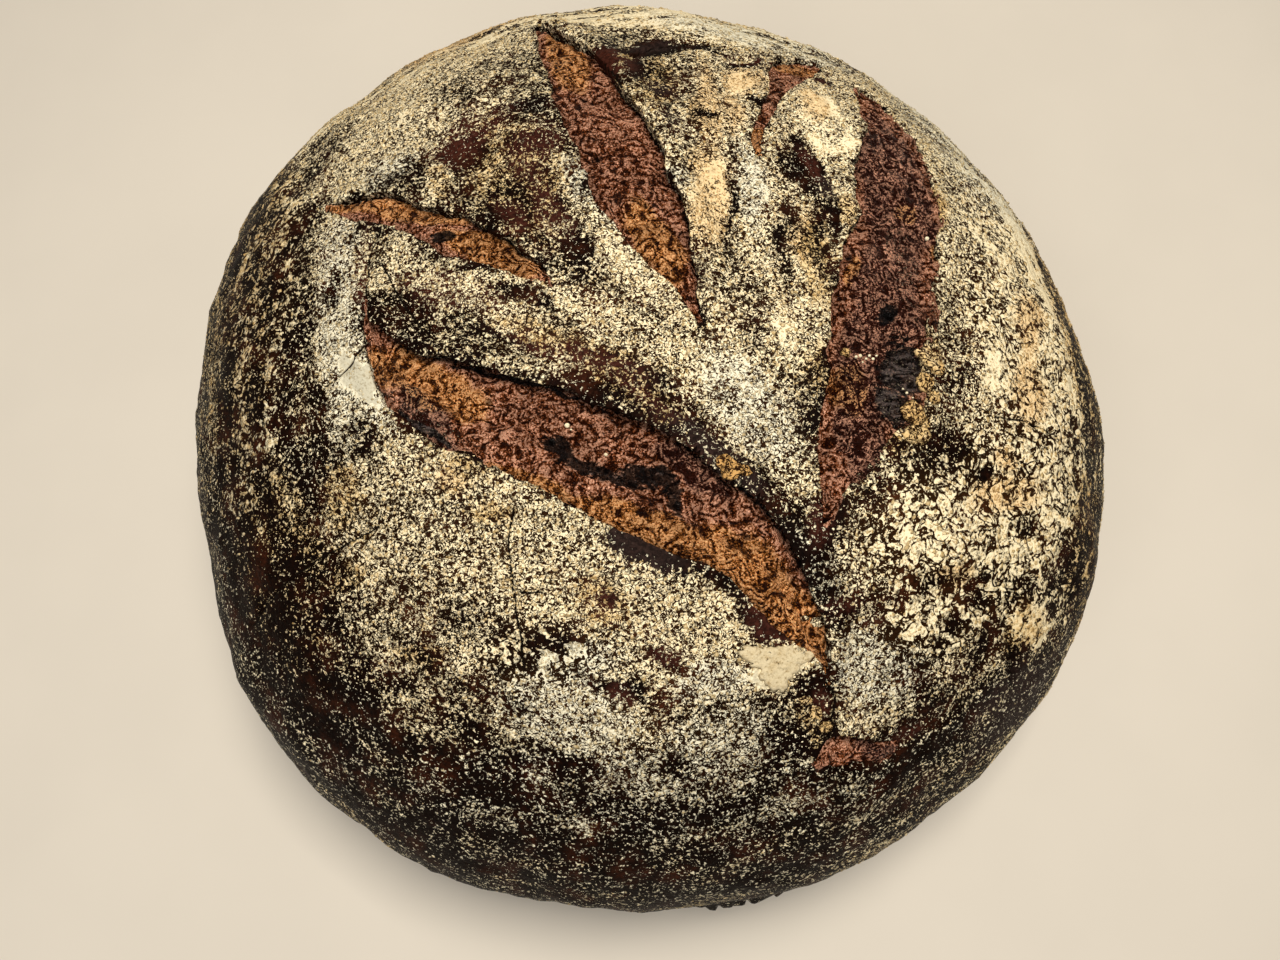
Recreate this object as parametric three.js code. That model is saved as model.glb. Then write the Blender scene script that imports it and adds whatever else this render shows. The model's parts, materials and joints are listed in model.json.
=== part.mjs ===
import * as THREE from 'three';

// A round sourdough loaf, uncut: a low dome on a flat baked foot, with six scores burst open on its
// crown. Millimetres, +Z up. The origin is on the resting surface, under the middle of the loaf.

// Overall size of the smooth dome. The belly is the widest level; the foot is the flat baked side.
const LOAF_HEIGHT = 104;
const BELLY_RADIUS = 119;
const BELLY_HEIGHT = 37;
const FOOT_RATIO = 0.82;

// The crown and the side below the belly are superellipses: 2 is an ellipse, more is squarer.
const CROWN_POWER_ACROSS = 2.2;
const CROWN_POWER_UP = 2;
const UNDERSIDE_POWER = 2.1;

// The outline isn't a true circle: each wave adds a share of the radius, turned by an angle in degrees.
const OUTLINE_WAVES = [
  { order: 2, share: 0.0182, turn: -126 },
  { order: 3, share: 0.0116, turn: -20 },
  { order: 4, share: 0.0074, turn: -129 },
  { order: 5, share: 0.0043, turn: 54 },
  { order: 6, share: 0.004, turn: -105 },
];

// The dome's axis stands a little off the middle of the outline.
const DOME_AXIS = new THREE.Vector2(-1.5, -0.9);

// Slow swells of the crust: wave lengths in plan, and how far they rise and sink.
const SWELL_HEIGHT = 0.7;
const SWELL_LENGTHS = [47, 61, 38];

// Scores. A station is [x, y, half the opening's width], in plan from the dome's axis, and a score runs
// through its stations in order. Its depths and its raised lips are given as [left, right] of the way
// that it runs: the dough slopes across from one depth to the other.
const SCORES = [
  {
    // The long front score, from the left across the crown to the lower right.
    depths: [3.6, 1.2],
    lips: [2.4, 0.5],
    stations: [
      [-58.5, 4.5, 0.5],
      [-54, 0.5, 3.5],
      [-48, -6.5, 7],
      [-35.5, -13, 9.8],
      [-19, -19.5, 10.8],
      [-4, -27, 11.8],
      [10, -34.5, 10.2],
      [22, -42, 8],
      [29, -51, 5.8],
      [33.5, -58.5, 4.6],
      [37, -64.5, 2.2],
      [38, -69, 0.5],
    ],
  },
  {
    // The straight score at the back left, running towards the middle.
    depths: [3.4, 1.4],
    lips: [2, 0.5],
    stations: [
      [-24.5, 92, 1.5],
      [-19.5, 80, 3.6],
      [-15.5, 69.5, 5],
      [-11.5, 60, 7.2],
      [-7, 49, 8.2],
      [-2, 37.5, 8.4],
      [3, 27, 7.4],
      [7.5, 17, 4.6],
      [10.5, 9, 2.2],
      [12.5, 2.5, 0.5],
    ],
  },
  {
    // The crescent at the right.
    depths: [2.6, 2.6],
    lips: [1.2, 1.2],
    stations: [
      [52.5, 75, 0.8],
      [55.5, 66, 3.8],
      [57.5, 56.5, 6.6],
      [58, 46.5, 9.4],
      [57, 38, 10.6],
      [55, 27, 10.2],
      [52, 14, 10.9],
      [49, 2, 10.6],
      [47.5, -9, 10.4],
      [43, -17, 8.2],
      [40, -24, 5],
      [38, -31, 2],
      [36, -42, 0.5],
    ],
  },
  {
    // The short score at the left.
    depths: [2.4, 0.8],
    lips: [1.2, 0.3],
    stations: [
      [-72.5, 40.5, 0.5],
      [-65, 37.5, 3],
      [-55.5, 34, 3.6],
      [-47, 30.5, 3.2],
      [-38.5, 25.5, 4.4],
      [-30.5, 22, 4],
      [-24.5, 18, 2.6],
      [-18, 13.5, 0.5],
    ],
  },
  {
    // The short ragged score at the back.
    depths: [1.8, 1.8],
    lips: [0.6, 0.6],
    stations: [
      [44, 79.5, 1.5],
      [35.5, 77, 3.8],
      [32, 70, 3.4],
      [29, 60.5, 2.6],
      [26.5, 53, 1.4],
      [25, 48, 0.5],
    ],
  },
  {
    // The small tear at the front right.
    depths: [2.2, 1],
    lips: [1, 0.3],
    stations: [
      [35, -84.5, 0.8],
      [39, -81.5, 3.4],
      [45.5, -81.5, 3],
      [53.5, -79.5, 0.8],
    ],
  },
];

// How far in from a score's edge the wall of the crust reaches, and how far out the lip fades away.
const WALL_WIDTH = 3;
const LIP_WIDTH = 7;
const SAMPLES_PER_SCORE = 80;

// Relief on the crown is pushed out from a point this far below the foot.
const RELIEF_CENTRE_DEPTH = 100;

// The mesh: points round the loaf, and rings on the crown and below the belly.
const POINTS_ROUND = 120;
const TOP_RINGS = 26;
const SHOULDER_RINGS = 7;
const UNDERSIDE_RINGS = 6;

// The top, where the scores are, reaches out to this share of the radius and has evenly spaced rings.
const TOP_SHARE = 0.82;

const CRUST_COLOUR = 0x5a3a22;

function smooth(value) {
  return THREE.MathUtils.smoothstep(value, 0, 1);
}

function bellyRadius(angle) {
  let share = 1;
  for (const wave of OUTLINE_WAVES) {
    share += wave.share * Math.cos(wave.order * angle - THREE.MathUtils.degToRad(wave.turn));
  }
  return BELLY_RADIUS * share;
}

// A point of the crown's curve, at a share of the belly's radius: 0 at the top, 1 at the belly.
function crownPoint(across) {
  const up = (1 - across ** CROWN_POWER_ACROSS) ** (1 / CROWN_POWER_UP);
  return { across, height: BELLY_HEIGHT + (LOAF_HEIGHT - BELLY_HEIGHT) * up };
}

// A point of the side below the belly: turn runs from 0 at the belly to a quarter turn at the foot.
function undersidePoint(turn) {
  const out = Math.max(Math.cos(turn), 0) ** (2 / UNDERSIDE_POWER);
  const down = Math.max(Math.sin(turn), 0) ** (2 / UNDERSIDE_POWER);
  return { across: FOOT_RATIO + (1 - FOOT_RATIO) * out, height: BELLY_HEIGHT * (1 - down) };
}

// A score's line as closely spaced samples of its place, its half width and the way it runs.
function scoreSamples(score) {
  const points = score.stations.map(([x, y, halfWidth]) => new THREE.Vector3(x, y, halfWidth));
  const curve = new THREE.CatmullRomCurve3(points, false, 'centripetal');
  const samples = [];
  for (let i = 0; i <= SAMPLES_PER_SCORE; i++) {
    const point = curve.getPoint(i / SAMPLES_PER_SCORE);
    const tangent = curve.getTangent(i / SAMPLES_PER_SCORE);
    const way = new THREE.Vector2(tangent.x, tangent.y).normalize();
    samples.push({ x: point.x, y: point.y, halfWidth: point.z, way });
  }
  return samples;
}

const SCORE_LINES = SCORES.map((score) => ({ ...score, samples: scoreSamples(score) }));

// How far a score sinks (below 0) or lifts (above 0) the surface over a place in plan.
function scoreRelief(score, x, y) {
  let nearest = score.samples[0];
  let least = Infinity;
  for (const sample of score.samples) {
    const distance = Math.hypot(x - sample.x, y - sample.y);
    if (distance < least) {
      least = distance;
      nearest = sample;
    }
  }
  const side = nearest.way.x * (y - nearest.y) - nearest.way.y * (x - nearest.x);
  const pastEdge = least - nearest.halfWidth;
  if (pastEdge > LIP_WIDTH) {
    return 0;
  }
  const opened = Math.min(nearest.halfWidth / WALL_WIDTH, 1);
  if (pastEdge > 0) {
    const lip = side > 0 ? score.lips[0] : score.lips[1];
    return lip * opened * (1 - smooth(pastEdge / LIP_WIDTH));
  }
  const toLeft = (1 + THREE.MathUtils.clamp(side / nearest.halfWidth, -1, 1)) / 2;
  const depth = THREE.MathUtils.lerp(score.depths[1], score.depths[0], toLeft);
  return -depth * opened * smooth(-pastEdge / WALL_WIDTH);
}

function swell(x, y) {
  const [first, second, third] = SWELL_LENGTHS.map((length) => (2 * Math.PI) / length);
  const waves = Math.sin(first * x + 1) + Math.sin(second * y + 2) + Math.sin(third * (x + y) + 3);
  return (SWELL_HEIGHT * waves) / SWELL_LENGTHS.length;
}

// Moves a smooth point of the crown out or in by the relief over it.
function reliefPoint(x, y, z) {
  let relief = swell(x, y);
  for (const score of SCORE_LINES) {
    relief += scoreRelief(score, x, y);
  }
  const outward = new THREE.Vector3(x, y, z + RELIEF_CENTRE_DEPTH).normalize();
  return new THREE.Vector3(x, y, z).addScaledVector(outward, relief);
}

// One closed ring of points at the given share of the radius and height.
function ring({ across, height }, onCrown) {
  const points = [];
  for (let i = 0; i < POINTS_ROUND; i++) {
    const angle = (2 * Math.PI * i) / POINTS_ROUND;
    const radius = bellyRadius(angle) * across;
    const x = radius * Math.cos(angle);
    const y = radius * Math.sin(angle);
    points.push(onCrown ? reliefPoint(x, y, height) : new THREE.Vector3(x, y, height));
  }
  return points;
}

// The rings in order, from just under the top to the edge of the foot.
function loafRings() {
  const rings = [];
  for (let i = 1; i <= TOP_RINGS; i++) {
    rings.push(ring(crownPoint((TOP_SHARE * i) / TOP_RINGS), true));
  }
  const topTurn = Math.asin(TOP_SHARE);
  for (let i = 1; i < SHOULDER_RINGS; i++) {
    const turn = THREE.MathUtils.lerp(topTurn, Math.PI / 2, i / SHOULDER_RINGS);
    rings.push(ring(crownPoint(Math.sin(turn)), true));
  }
  for (let i = 0; i <= UNDERSIDE_RINGS; i++) {
    rings.push(ring(undersidePoint((i / UNDERSIDE_RINGS) * (Math.PI / 2)), false));
  }
  return rings;
}

// One closed surface: a fan at the top, bands between the rings, and a flat fan for the foot.
function loafGeometry() {
  const rings = loafRings();
  const vertices = [reliefPoint(0, 0, LOAF_HEIGHT), ...rings.flat(), new THREE.Vector3(0, 0, 0)];
  const top = 0;
  const foot = vertices.length - 1;
  const at = (ringNumber, i) => 1 + ringNumber * POINTS_ROUND + (i % POINTS_ROUND);
  const triangles = [];
  for (let i = 0; i < POINTS_ROUND; i++) {
    triangles.push(top, at(0, i), at(0, i + 1));
    triangles.push(foot, at(rings.length - 1, i + 1), at(rings.length - 1, i));
  }
  for (let r = 0; r < rings.length - 1; r++) {
    for (let i = 0; i < POINTS_ROUND; i++) {
      triangles.push(at(r, i), at(r + 1, i), at(r + 1, i + 1));
      triangles.push(at(r, i), at(r + 1, i + 1), at(r, i + 1));
    }
  }
  const geometry = new THREE.BufferGeometry().setFromPoints(vertices);
  geometry.setIndex(triangles);
  geometry.computeVertexNormals();
  return geometry;
}

const crust = new THREE.MeshStandardMaterial({ color: CRUST_COLOUR, roughness: 0.85, metalness: 0 });

const loaf = new THREE.Mesh(loafGeometry(), crust);
loaf.name = 'loaf';
loaf.position.set(DOME_AXIS.x, DOME_AXIS.y, 0);

const sourdoughLoaf = new THREE.Group();
sourdoughLoaf.add(loaf);

export default sourdoughLoaf;
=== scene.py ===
import itertools
import json
import math

import bmesh
import bpy
import numpy as np
from bpy.props import FloatProperty, FloatVectorProperty, IntProperty, PointerProperty
from mathutils import Euler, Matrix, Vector
from mathutils.bvhtree import BVHTree

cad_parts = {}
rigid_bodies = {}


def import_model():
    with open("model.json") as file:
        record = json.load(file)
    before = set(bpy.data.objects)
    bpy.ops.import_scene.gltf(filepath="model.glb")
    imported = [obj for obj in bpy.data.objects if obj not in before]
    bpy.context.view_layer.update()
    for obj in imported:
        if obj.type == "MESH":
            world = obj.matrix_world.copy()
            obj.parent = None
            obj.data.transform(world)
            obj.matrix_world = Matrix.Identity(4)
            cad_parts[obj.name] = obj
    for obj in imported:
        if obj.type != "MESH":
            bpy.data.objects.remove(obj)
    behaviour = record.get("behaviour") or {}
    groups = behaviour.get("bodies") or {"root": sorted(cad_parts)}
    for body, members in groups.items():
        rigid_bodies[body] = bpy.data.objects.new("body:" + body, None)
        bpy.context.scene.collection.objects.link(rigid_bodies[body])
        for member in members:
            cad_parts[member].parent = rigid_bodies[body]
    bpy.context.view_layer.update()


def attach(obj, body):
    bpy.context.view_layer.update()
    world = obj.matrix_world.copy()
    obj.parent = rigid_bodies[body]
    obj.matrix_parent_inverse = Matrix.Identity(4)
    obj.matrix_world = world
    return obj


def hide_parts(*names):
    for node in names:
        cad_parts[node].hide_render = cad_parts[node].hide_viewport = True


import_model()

bl_info = {
    "name": "Sourdough Loaf",
    "version": (1, 0, 0),
    "blender": (4, 5, 0),
    "location": "3D View > Sidebar > Loaf",
    "description": "Builds the crust, the burst scores and the flour of a round sourdough loaf",
    "category": "Object",
}

# Every shape is worked out in millimetres from the dome's axis, then set in metres in the part's frame.
MM = 0.001
BODY = "root"
NODE = "loaf"

# The smooth dome. Its powers are superellipse powers, its waves turn the outline from a true circle.
DOME_HEIGHT = 104.0
BELLY_RADIUS = 119.0
BELLY_HEIGHT = 37.0
FOOT_RATIO = 0.82
CROWN_POWER_ACROSS = 2.2
CROWN_POWER_UP = 2.0
UNDERSIDE_POWER = 2.1
DOME_AXIS = (-1.5, -0.9)

# Each wave of the outline: how often it comes round, its share of the radius, its turn in degrees.
OUTLINE_WAVES = ((2, 0.0182, -126), (3, 0.0116, -20), (4, 0.0074, -129), (5, 0.0043, 54), (6, 0.0040, -105))

# Slow swells of the crust.
SWELL_HEIGHT = 0.7
SWELL_LENGTHS = (47.0, 61.0, 38.0)

# The scores. A station is (x, y, half the opening's width), and a score runs through its stations in
# order. lips: how far the crust's left and right edges are raised. overhang: how far they reach over the
# dough. floor: (place across from -1 at the right edge to 1 at the left, height of the dough there).
SCORES = {
    "front": {
        "stations": (
            (-58.2, 12, 1), (-57, 6.4, 2.6), (-54.2, 1, 4.4), (-48, -6, 6.9), (-35.5, -13, 9.8),
            (-19, -19.5, 10.8), (-4, -27, 11.8), (10, -34.5, 10.2), (22, -42, 8), (28.4, -50, 6.2),
            (32.8, -57, 5.2), (35.6, -61.5, 2.9), (37.2, -65, 1.1), (37.2, -68.5, 0.4),
        ),
        "lips": (2.2, 0.4),
        "overhang": (1.6, 0.2),
        "floor": ((-1, -1.3), (-0.55, 0.5), (-0.3, 0), (-0.1, -2.3), (0.1, -1.5), (0.6, -1.8), (1, -3.6)),
    },
    "back_left": {
        "stations": (
            (-25, 92.5, 2), (-19.2, 81, 5.5), (-13.9, 69.5, 7.4), (-10.3, 60, 8.4), (-5.5, 49, 9.8),
            (-1.5, 37.5, 9.2), (3.2, 27, 8.2), (7.6, 17, 4.9), (10.5, 9, 2.2), (12.5, 2.5, 0.5),
        ),
        "lips": (1.8, 0.3),
        "overhang": (1.4, 0.1),
        "floor": ((-1, -1), (-0.5, -0.5), (0.2, -1.4), (1, -3.4)),
    },
    "crescent": {
        "stations": (
            (51.8, 75, 1.2), (55.2, 67.5, 5), (57.6, 57, 7.2), (58, 46.5, 9.6), (57, 38, 10.7),
            (55, 27, 10.8), (52, 14, 11.2), (49, 2, 10.8), (47, -9, 10.2), (43, -17, 8), (40.2, -24, 5.8),
            (38, -31, 2.6), (36, -42, 0.5),
        ),
        "lips": (0.3, 0.9),
        "overhang": (0.2, 0.4),
        "floor": ((-1, -1.9), (-0.5, -1.3), (0, -1.2), (0.5, -0.8), (1, -0.2)),
    },
    "left": {
        "stations": (
            (-72, 38.8, 0.6), (-65, 37.3, 3.1), (-55.5, 34.5, 3.8), (-46.5, 29.8, 3.9), (-38, 25, 4.7),
            (-31, 21, 4.3), (-24.5, 17.2, 2.8), (-17.6, 12.4, 0.5),
        ),
        "lips": (1.1, 0.2),
        "overhang": (0.9, 0),
        "floor": ((-1, -0.6), (0, -1), (1, -2.6)),
    },
    "back": {
        "stations": (
            (44.2, 82, 1.8), (40, 80, 4.2), (35.6, 75.6, 5.4), (32.8, 69.5, 3.6), (29.9, 62.8, 2.1),
            (27.6, 57, 1.6), (26, 52, 1.7), (25.6, 47.5, 1.1), (26.2, 43, 0.4),
        ),
        "lips": (0.5, 0.5),
        "overhang": (0.3, 0.3),
        "floor": ((-1, -1.6), (0, -1.2), (1, -1.6)),
    },
    "tear": {
        "stations": ((35, -84.5, 0.8), (39, -81.5, 3.4), (45.5, -81.5, 3), (53.5, -79.5, 0.8)),
        "lips": (0.9, 0.2),
        "overhang": (0.8, 0),
        "floor": ((-1, -0.8), (0, -1.2), (1, -2.4)),
    },
}

# Hairline cracks in the crust, each a line of places in plan.
CRACKS = (
    ((-57.5, 30), (-59.5, 22), (-59, 13.5)),
    ((-25.5, -34.5), (-26.5, -40), (-26, -46), (-25, -52), (-24, -59), (-23.5, -65)),
    ((-25, -50.5), (-20.5, -51)),
    ((-59, 1), (-61.5, -2.5), (-66, -5.5), (-72.5, -10)),
    ((-54, -37), (-61, -40), (-68, -42.5), (-75, -46.5), (-80.5, -50), (-86.5, -55)),
    ((76, -12), (83, -12), (90, -13.5)),
    ((78.5, -57.5), (80.5, -62), (81.5, -67)),
    ((38.3, -68.5), (39.3, -71.5), (38.7, -75), (37.2, -79)),
    ((-2.8, 63.5), (-4.6, 69), (-7.2, 73.5)),
    ((-2, 77), (2.5, 81), (8, 83.2), (15, 83.5), (20.5, 82.2)),
    ((20.5, 78.6), (25, 78.6), (30, 77.2)),
    ((-56, 20), (-50, 10), (-46, 4)),
)

# Lobes of crust that reach in over a score, or notches where it stands back: (x, y, radius, reach).
EDGE_LOBES = (
    (46.5, 32, 5.5, 2.6), (42.5, 40.5, 3, -1.8), (61, -1, 5, 1.6), (59, -12, 4.5, 1.5), (54, -20, 4, 1.2),
    (-46, 38, 5, 1.6), (-38, 31, 4, -1.4), (18, -27, 4, 1.8), (-9, -10, 5, 1), (-42, 21, 4, -1.6),
    (52, 58, 4, 1.2), (12, -46, 5, 1), (27, -60, 4, 1), (-35, -24, 5, 0.8), (63, 6, 6, 1.8),
    (40.5, -2, 5, -1.5), (46, 77.6, 3.6, 1.4),
)

# Flour laid on the crust, in order: (x, y, half length, half width, turn in degrees, share covered).
FLOUR_PATCHES = (
    # the left side, speckled in upright streaks
    (-84, 4, 50, 12, 92, 0.46), (-77, -28, 24, 5, 95, 0.42), (-86, -14, 30, 3.5, 92, 0.48),
    (-103, 14, 34, 5, 96, 0.48), (-70, -58, 22, 14, -60, 0.17), (-96, -20, 16, 3, 80, 0.26),
    # the upper left, dense up to the rim
    (-56, 74, 36, 20, 30, 0.9), (-82, 46, 24, 8, 60, 0.6), (-62, 49, 14, 8, 20, 0.82),
    (-36, 72, 16, 11, 20, 0.66),
    # the back rim
    (12, 100, 72, 15, -4, 0.92),
    # between the short left score and the straight back-left score
    (-26, 40, 26, 15, -70, 0.48), (-39.5, 48, 6, 5, 60, 0.18), (-23.5, 47.5, 5.5, 4.5, 20, 0.22),
    (-28, 29, 5.5, 2.6, -50, 0.16), (-26, 60.5, 7, 2.2, 8, 0.2), (-34.5, 54, 5, 1.8, 35, 0.16),
    (-35.5, 55.5, 7, 1.1, 38, 0.74), (-33, 45, 8, 2.5, 78, 0.66), (-27, 52.5, 5, 1.8, 10, 0.72),
    (-13.5, 37, 8, 2.4, -72, 0.8), (-44, 40, 6, 3, 110, 0.86), (-37, 34, 5, 3, 0, 0.5),
    (-9, 27, 17, 3, -60, 0.84), (-14, 21, 4, 2.2, -40, 0.22), (1, 12, 13, 5, -45, 0.86),
    (-22, 43, 6, 2.5, 0, 0.5),
    # between the short left score and the front score, in streaks
    (-52, 19, 14, 8, -20, 0.68), (-55, 14, 4, 3, 0, 0.86), (-51, 25, 4, 2.5, 0, 0.84),
    (-39, 15.4, 8, 1.1, 20, 0.14), (-33, 12.5, 13, 3, -4, 0.86), (-16, 9, 13, 3.4, -28, 0.84),
    (-4, 4, 17, 6, -32, 0.9), (-30, 5.6, 13, 2.8, -12, 0.74), (-26, 9.2, 9, 1.3, -20, 0.36),
    (-40, 6, 7, 3.5, -20, 0.6), (-14, 1.5, 14, 2.2, -22, 0.74), (-48, 4, 6, 1.6, -24, 0.4),
    (-26, -3, 16, 3.2, -16, 0.62), (-32, -0.6, 13, 1.6, -12, 0.56), (-2, -11.2, 12, 2.8, -26, 0.52),
    (-8, -5.5, 12, 3, -24, 0.5), (14, -22.6, 12, 1.8, -38, 0.22),
    # the middle, where the scores meet
    (4, -3, 15, 4.6, -22, 0.86), (20, -12, 14, 9, -50, 0.92), (30, -24, 11, 6, -60, 0.82),
    (26.5, 0, 8, 4, 80, 0.92),
    # between the straight score and the crescent, in upright streaks
    (5, 68, 12, 7, 85, 0.57), (4.4, 64, 3.4, 2.2, 100, 0.28), (6.6, 53.5, 4.4, 2, 110, 0.3),
    (3.4, 58.4, 3.4, 2, 90, 0.68), (12, 66, 3, 2.2, 80, 0.4), (9.5, 47, 9, 2.2, 108, 0.56),
    (12.6, 36, 8, 1.8, 95, 0.6), (15.5, 62, 18, 3.6, 96, 0.93), (13.4, 54.6, 3, 1.1, -8, 0.28),
    (15.8, 32.5, 15, 5, 91, 0.955), (-5, 74.5, 10, 6.5, -40, 0.03), (2, 81, 8, 2.6, 20, 0.02),
    (10, 83.4, 7, 1.4, 4, 0.1), (17, 82.8, 5, 0.7, -8, 0.34), (-3.8, 78.2, 2.8, 1.5, 0, 0.8),
    (-3.8, 71.5, 3.2, 1.1, 95, 0.56), (-5.5, 86, 7, 3, 6, 0.56), (27, 88.5, 19, 5.5, -8, 0.93),
    (52, 82, 17, 6, -32, 0.92), (15, 13, 9, 4, 90, 0.56), (19.6, 33, 15, 0.9, 93, 0.45),
    (24, 70, 8, 5, 100, 0.96), (22, 57, 10, 3.4, 92, 0.93), (27.4, 63, 2.8, 0.7, 82, 0.26),
    (23.8, 38, 14, 3.4, 94, 0.93), (27, 6, 11, 4, 88, 0.74), (34, 25, 7, 2.4, 96, 0.93),
    (35, 43, 6, 2.5, 96, 0.82), (37, 20, 12, 3.5, 95, 0.46), (29.5, 16, 12, 1.3, 95, 0.3),
    (41, 57, 15, 9.5, 105, 0.95), (35.4, 46.5, 8, 2.3, 114, 0.26), (39.4, 42.6, 6, 1.8, 106, 0.12),
    (39.5, 35, 5, 2.6, 92, 0.42), (41, 31, 5, 1.6, 95, 0.14), (45, 32, 5, 2.5, 90, 0.82),
    (33, 3, 9, 6, 80, 0.88), (35.5, -6, 5, 3, 80, 0.5), (25, 78.4, 6, 0.8, -3, 0.05),
    (42.8, 72.9, 3.6, 1.2, -10, 0.06), (33.5, 41.5, 9, 2.8, 122, 0.34), (31, 26, 7, 1.8, 100, 0.52),
    (26.5, 18, 13, 2.4, 106, 0.92), (22.5, 6, 10, 1.9, 98, 0.54), (16.5, 3, 8, 3, 100, 0.88),
    (30.6, 13, 7, 1.8, 98, 0.52), (35, 11, 9, 2.8, 98, 0.92), (28.5, 1, 8, 2.8, 100, 0.945),
    (-3, 17, 10, 3, -52, 0.92), (0, 7, 14, 1.7, -38, 0.64), (20, 17, 9, 1.3, 98, 0.6),
    # the right side
    (86, 42, 60, 24, 105, 0.9), (84, 58, 34, 15, 118, 0.9), (84, 0, 28, 15, 80, 0.88),
    (74, 14, 10, 6, 90, 0.88), (66.8, 39, 6.5, 3, 100, 0.86), (65, -6, 8, 4, 60, 0.56),
    (76.5, -3.5, 9, 3.6, 84, 0.93), (62, -36, 20, 12, 0, 0.85), (48, -45, 9, 7, 0, 0.78),
    (84, -30, 18, 10, 80, 0.88), (65, -19.5, 6.5, 2.8, 4, 0.38), (70.5, -16, 4, 1.2, 80, 0.34),
    (73, -25.8, 2.2, 1.2, 25, 0.06), (83, -23.5, 3, 1.6, -20, 0.62), (82, -34.5, 4, 2.4, 0, 0.58),
    (74, -16, 5, 4, 0, 0.88), (99, -40, 12, 3, 80, 0.42), (84, -16, 6, 2, 0, 0.76),
    (37, -36, 6, 3, 85, 0.24), (46, -26, 7, 4, -50, 0.56), (58, -56, 17, 5, 10, 0.8),
    (62, -54, 4, 1.4, 25, 0.5), (68, -58, 5, 3, 60, 0.6), (72, -52, 3, 1.3, 0, 0.38),
    (83, -56, 7, 5.5, 60, 0.9), (78, -64, 10, 5, 20, 0.46), (84, -70, 12, 7, 40, 0.2),
    (52, -59, 7, 3, 10, 0.72), (64, -68, 10, 6, 0, 0.44), (105, 6, 44, 5, 95, 0.42),
    # beside the front score's left tip
    (-66, 11, 31, 5.5, 97, 0.9), (-67, 15, 5, 2.6, 80, 0.34), (-57, -7, 13, 5, -62, 0.97),
    # below the front score
    (-44, -38, 28, 20, -20, 0.74), (-47, -23, 11, 5, -40, 0.84), (-42, -60, 24, 11, 0, 0.62),
    (-19, -35, 17, 5, -26, 0.84), (-14, -48, 25, 12, -15, 0.78), (4, -57, 18, 8, -10, 0.82),
    (14, -56, 10, 7, 0, 0.88), (0, -65, 14, 5.5, 0, 0.8), (-41, -18.4, 14, 2.2, -39, 0.2),
    (-0.5, -42.9, 9, 3.3, -22, 0.06), (15, -49.5, 6, 2, -32, 0.82), (4, -62.6, 4.2, 1.7, -5, 0.28),
    (-7, -53, 3, 2, -40, 0.5), (25.3, -56.4, 6, 2.2, -50, 0.12), (40, -52.5, 4, 1.4, -12, 0.3),
    (-13, -64.5, 8, 3, 0, 0.7), (-24, -67.5, 4, 1.4, -20, 0.24), (-5, -69, 5.5, 1.9, -14, 0.24),
    (14, -67, 10, 4, 0, 0.86), (-19, -69, 9, 3, -10, 0.92), (-10, -76, 15, 7, -15, 0.88),
    (-36, -73, 16, 7, 0, 0.58), (17, -78, 17, 9, 0, 0.7), (27, -65, 9, 5, 15, 0.99),
    (46, -66, 10, 8, -50, 0.87), (55, -64, 8, 4.5, 20, 0.66), (46, -74, 7, 4, 0, 0.72),
    (34, -75.6, 6.4, 2, -58, 0.56), (56.4, -77.4, 4.5, 1.1, 18, 0.12), (45, -87, 9, 2.2, 0, 0.6),
    (30.5, -78, 5, 3, -50, 0.34), (8, -92, 54, 7, 0, 0.45), (-2, -85, 9, 4, -20, 0.62),
    (15, -85, 8, 4, 8, 0.66), (-24, -79, 8, 4, -30, 0.6), (-38, -80, 9, 3.5, -20, 0.48),
    (-44, -86, 20, 6, 0, 0.26), (66, -80, 20, 8, 40, 0.24),
)

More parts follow.
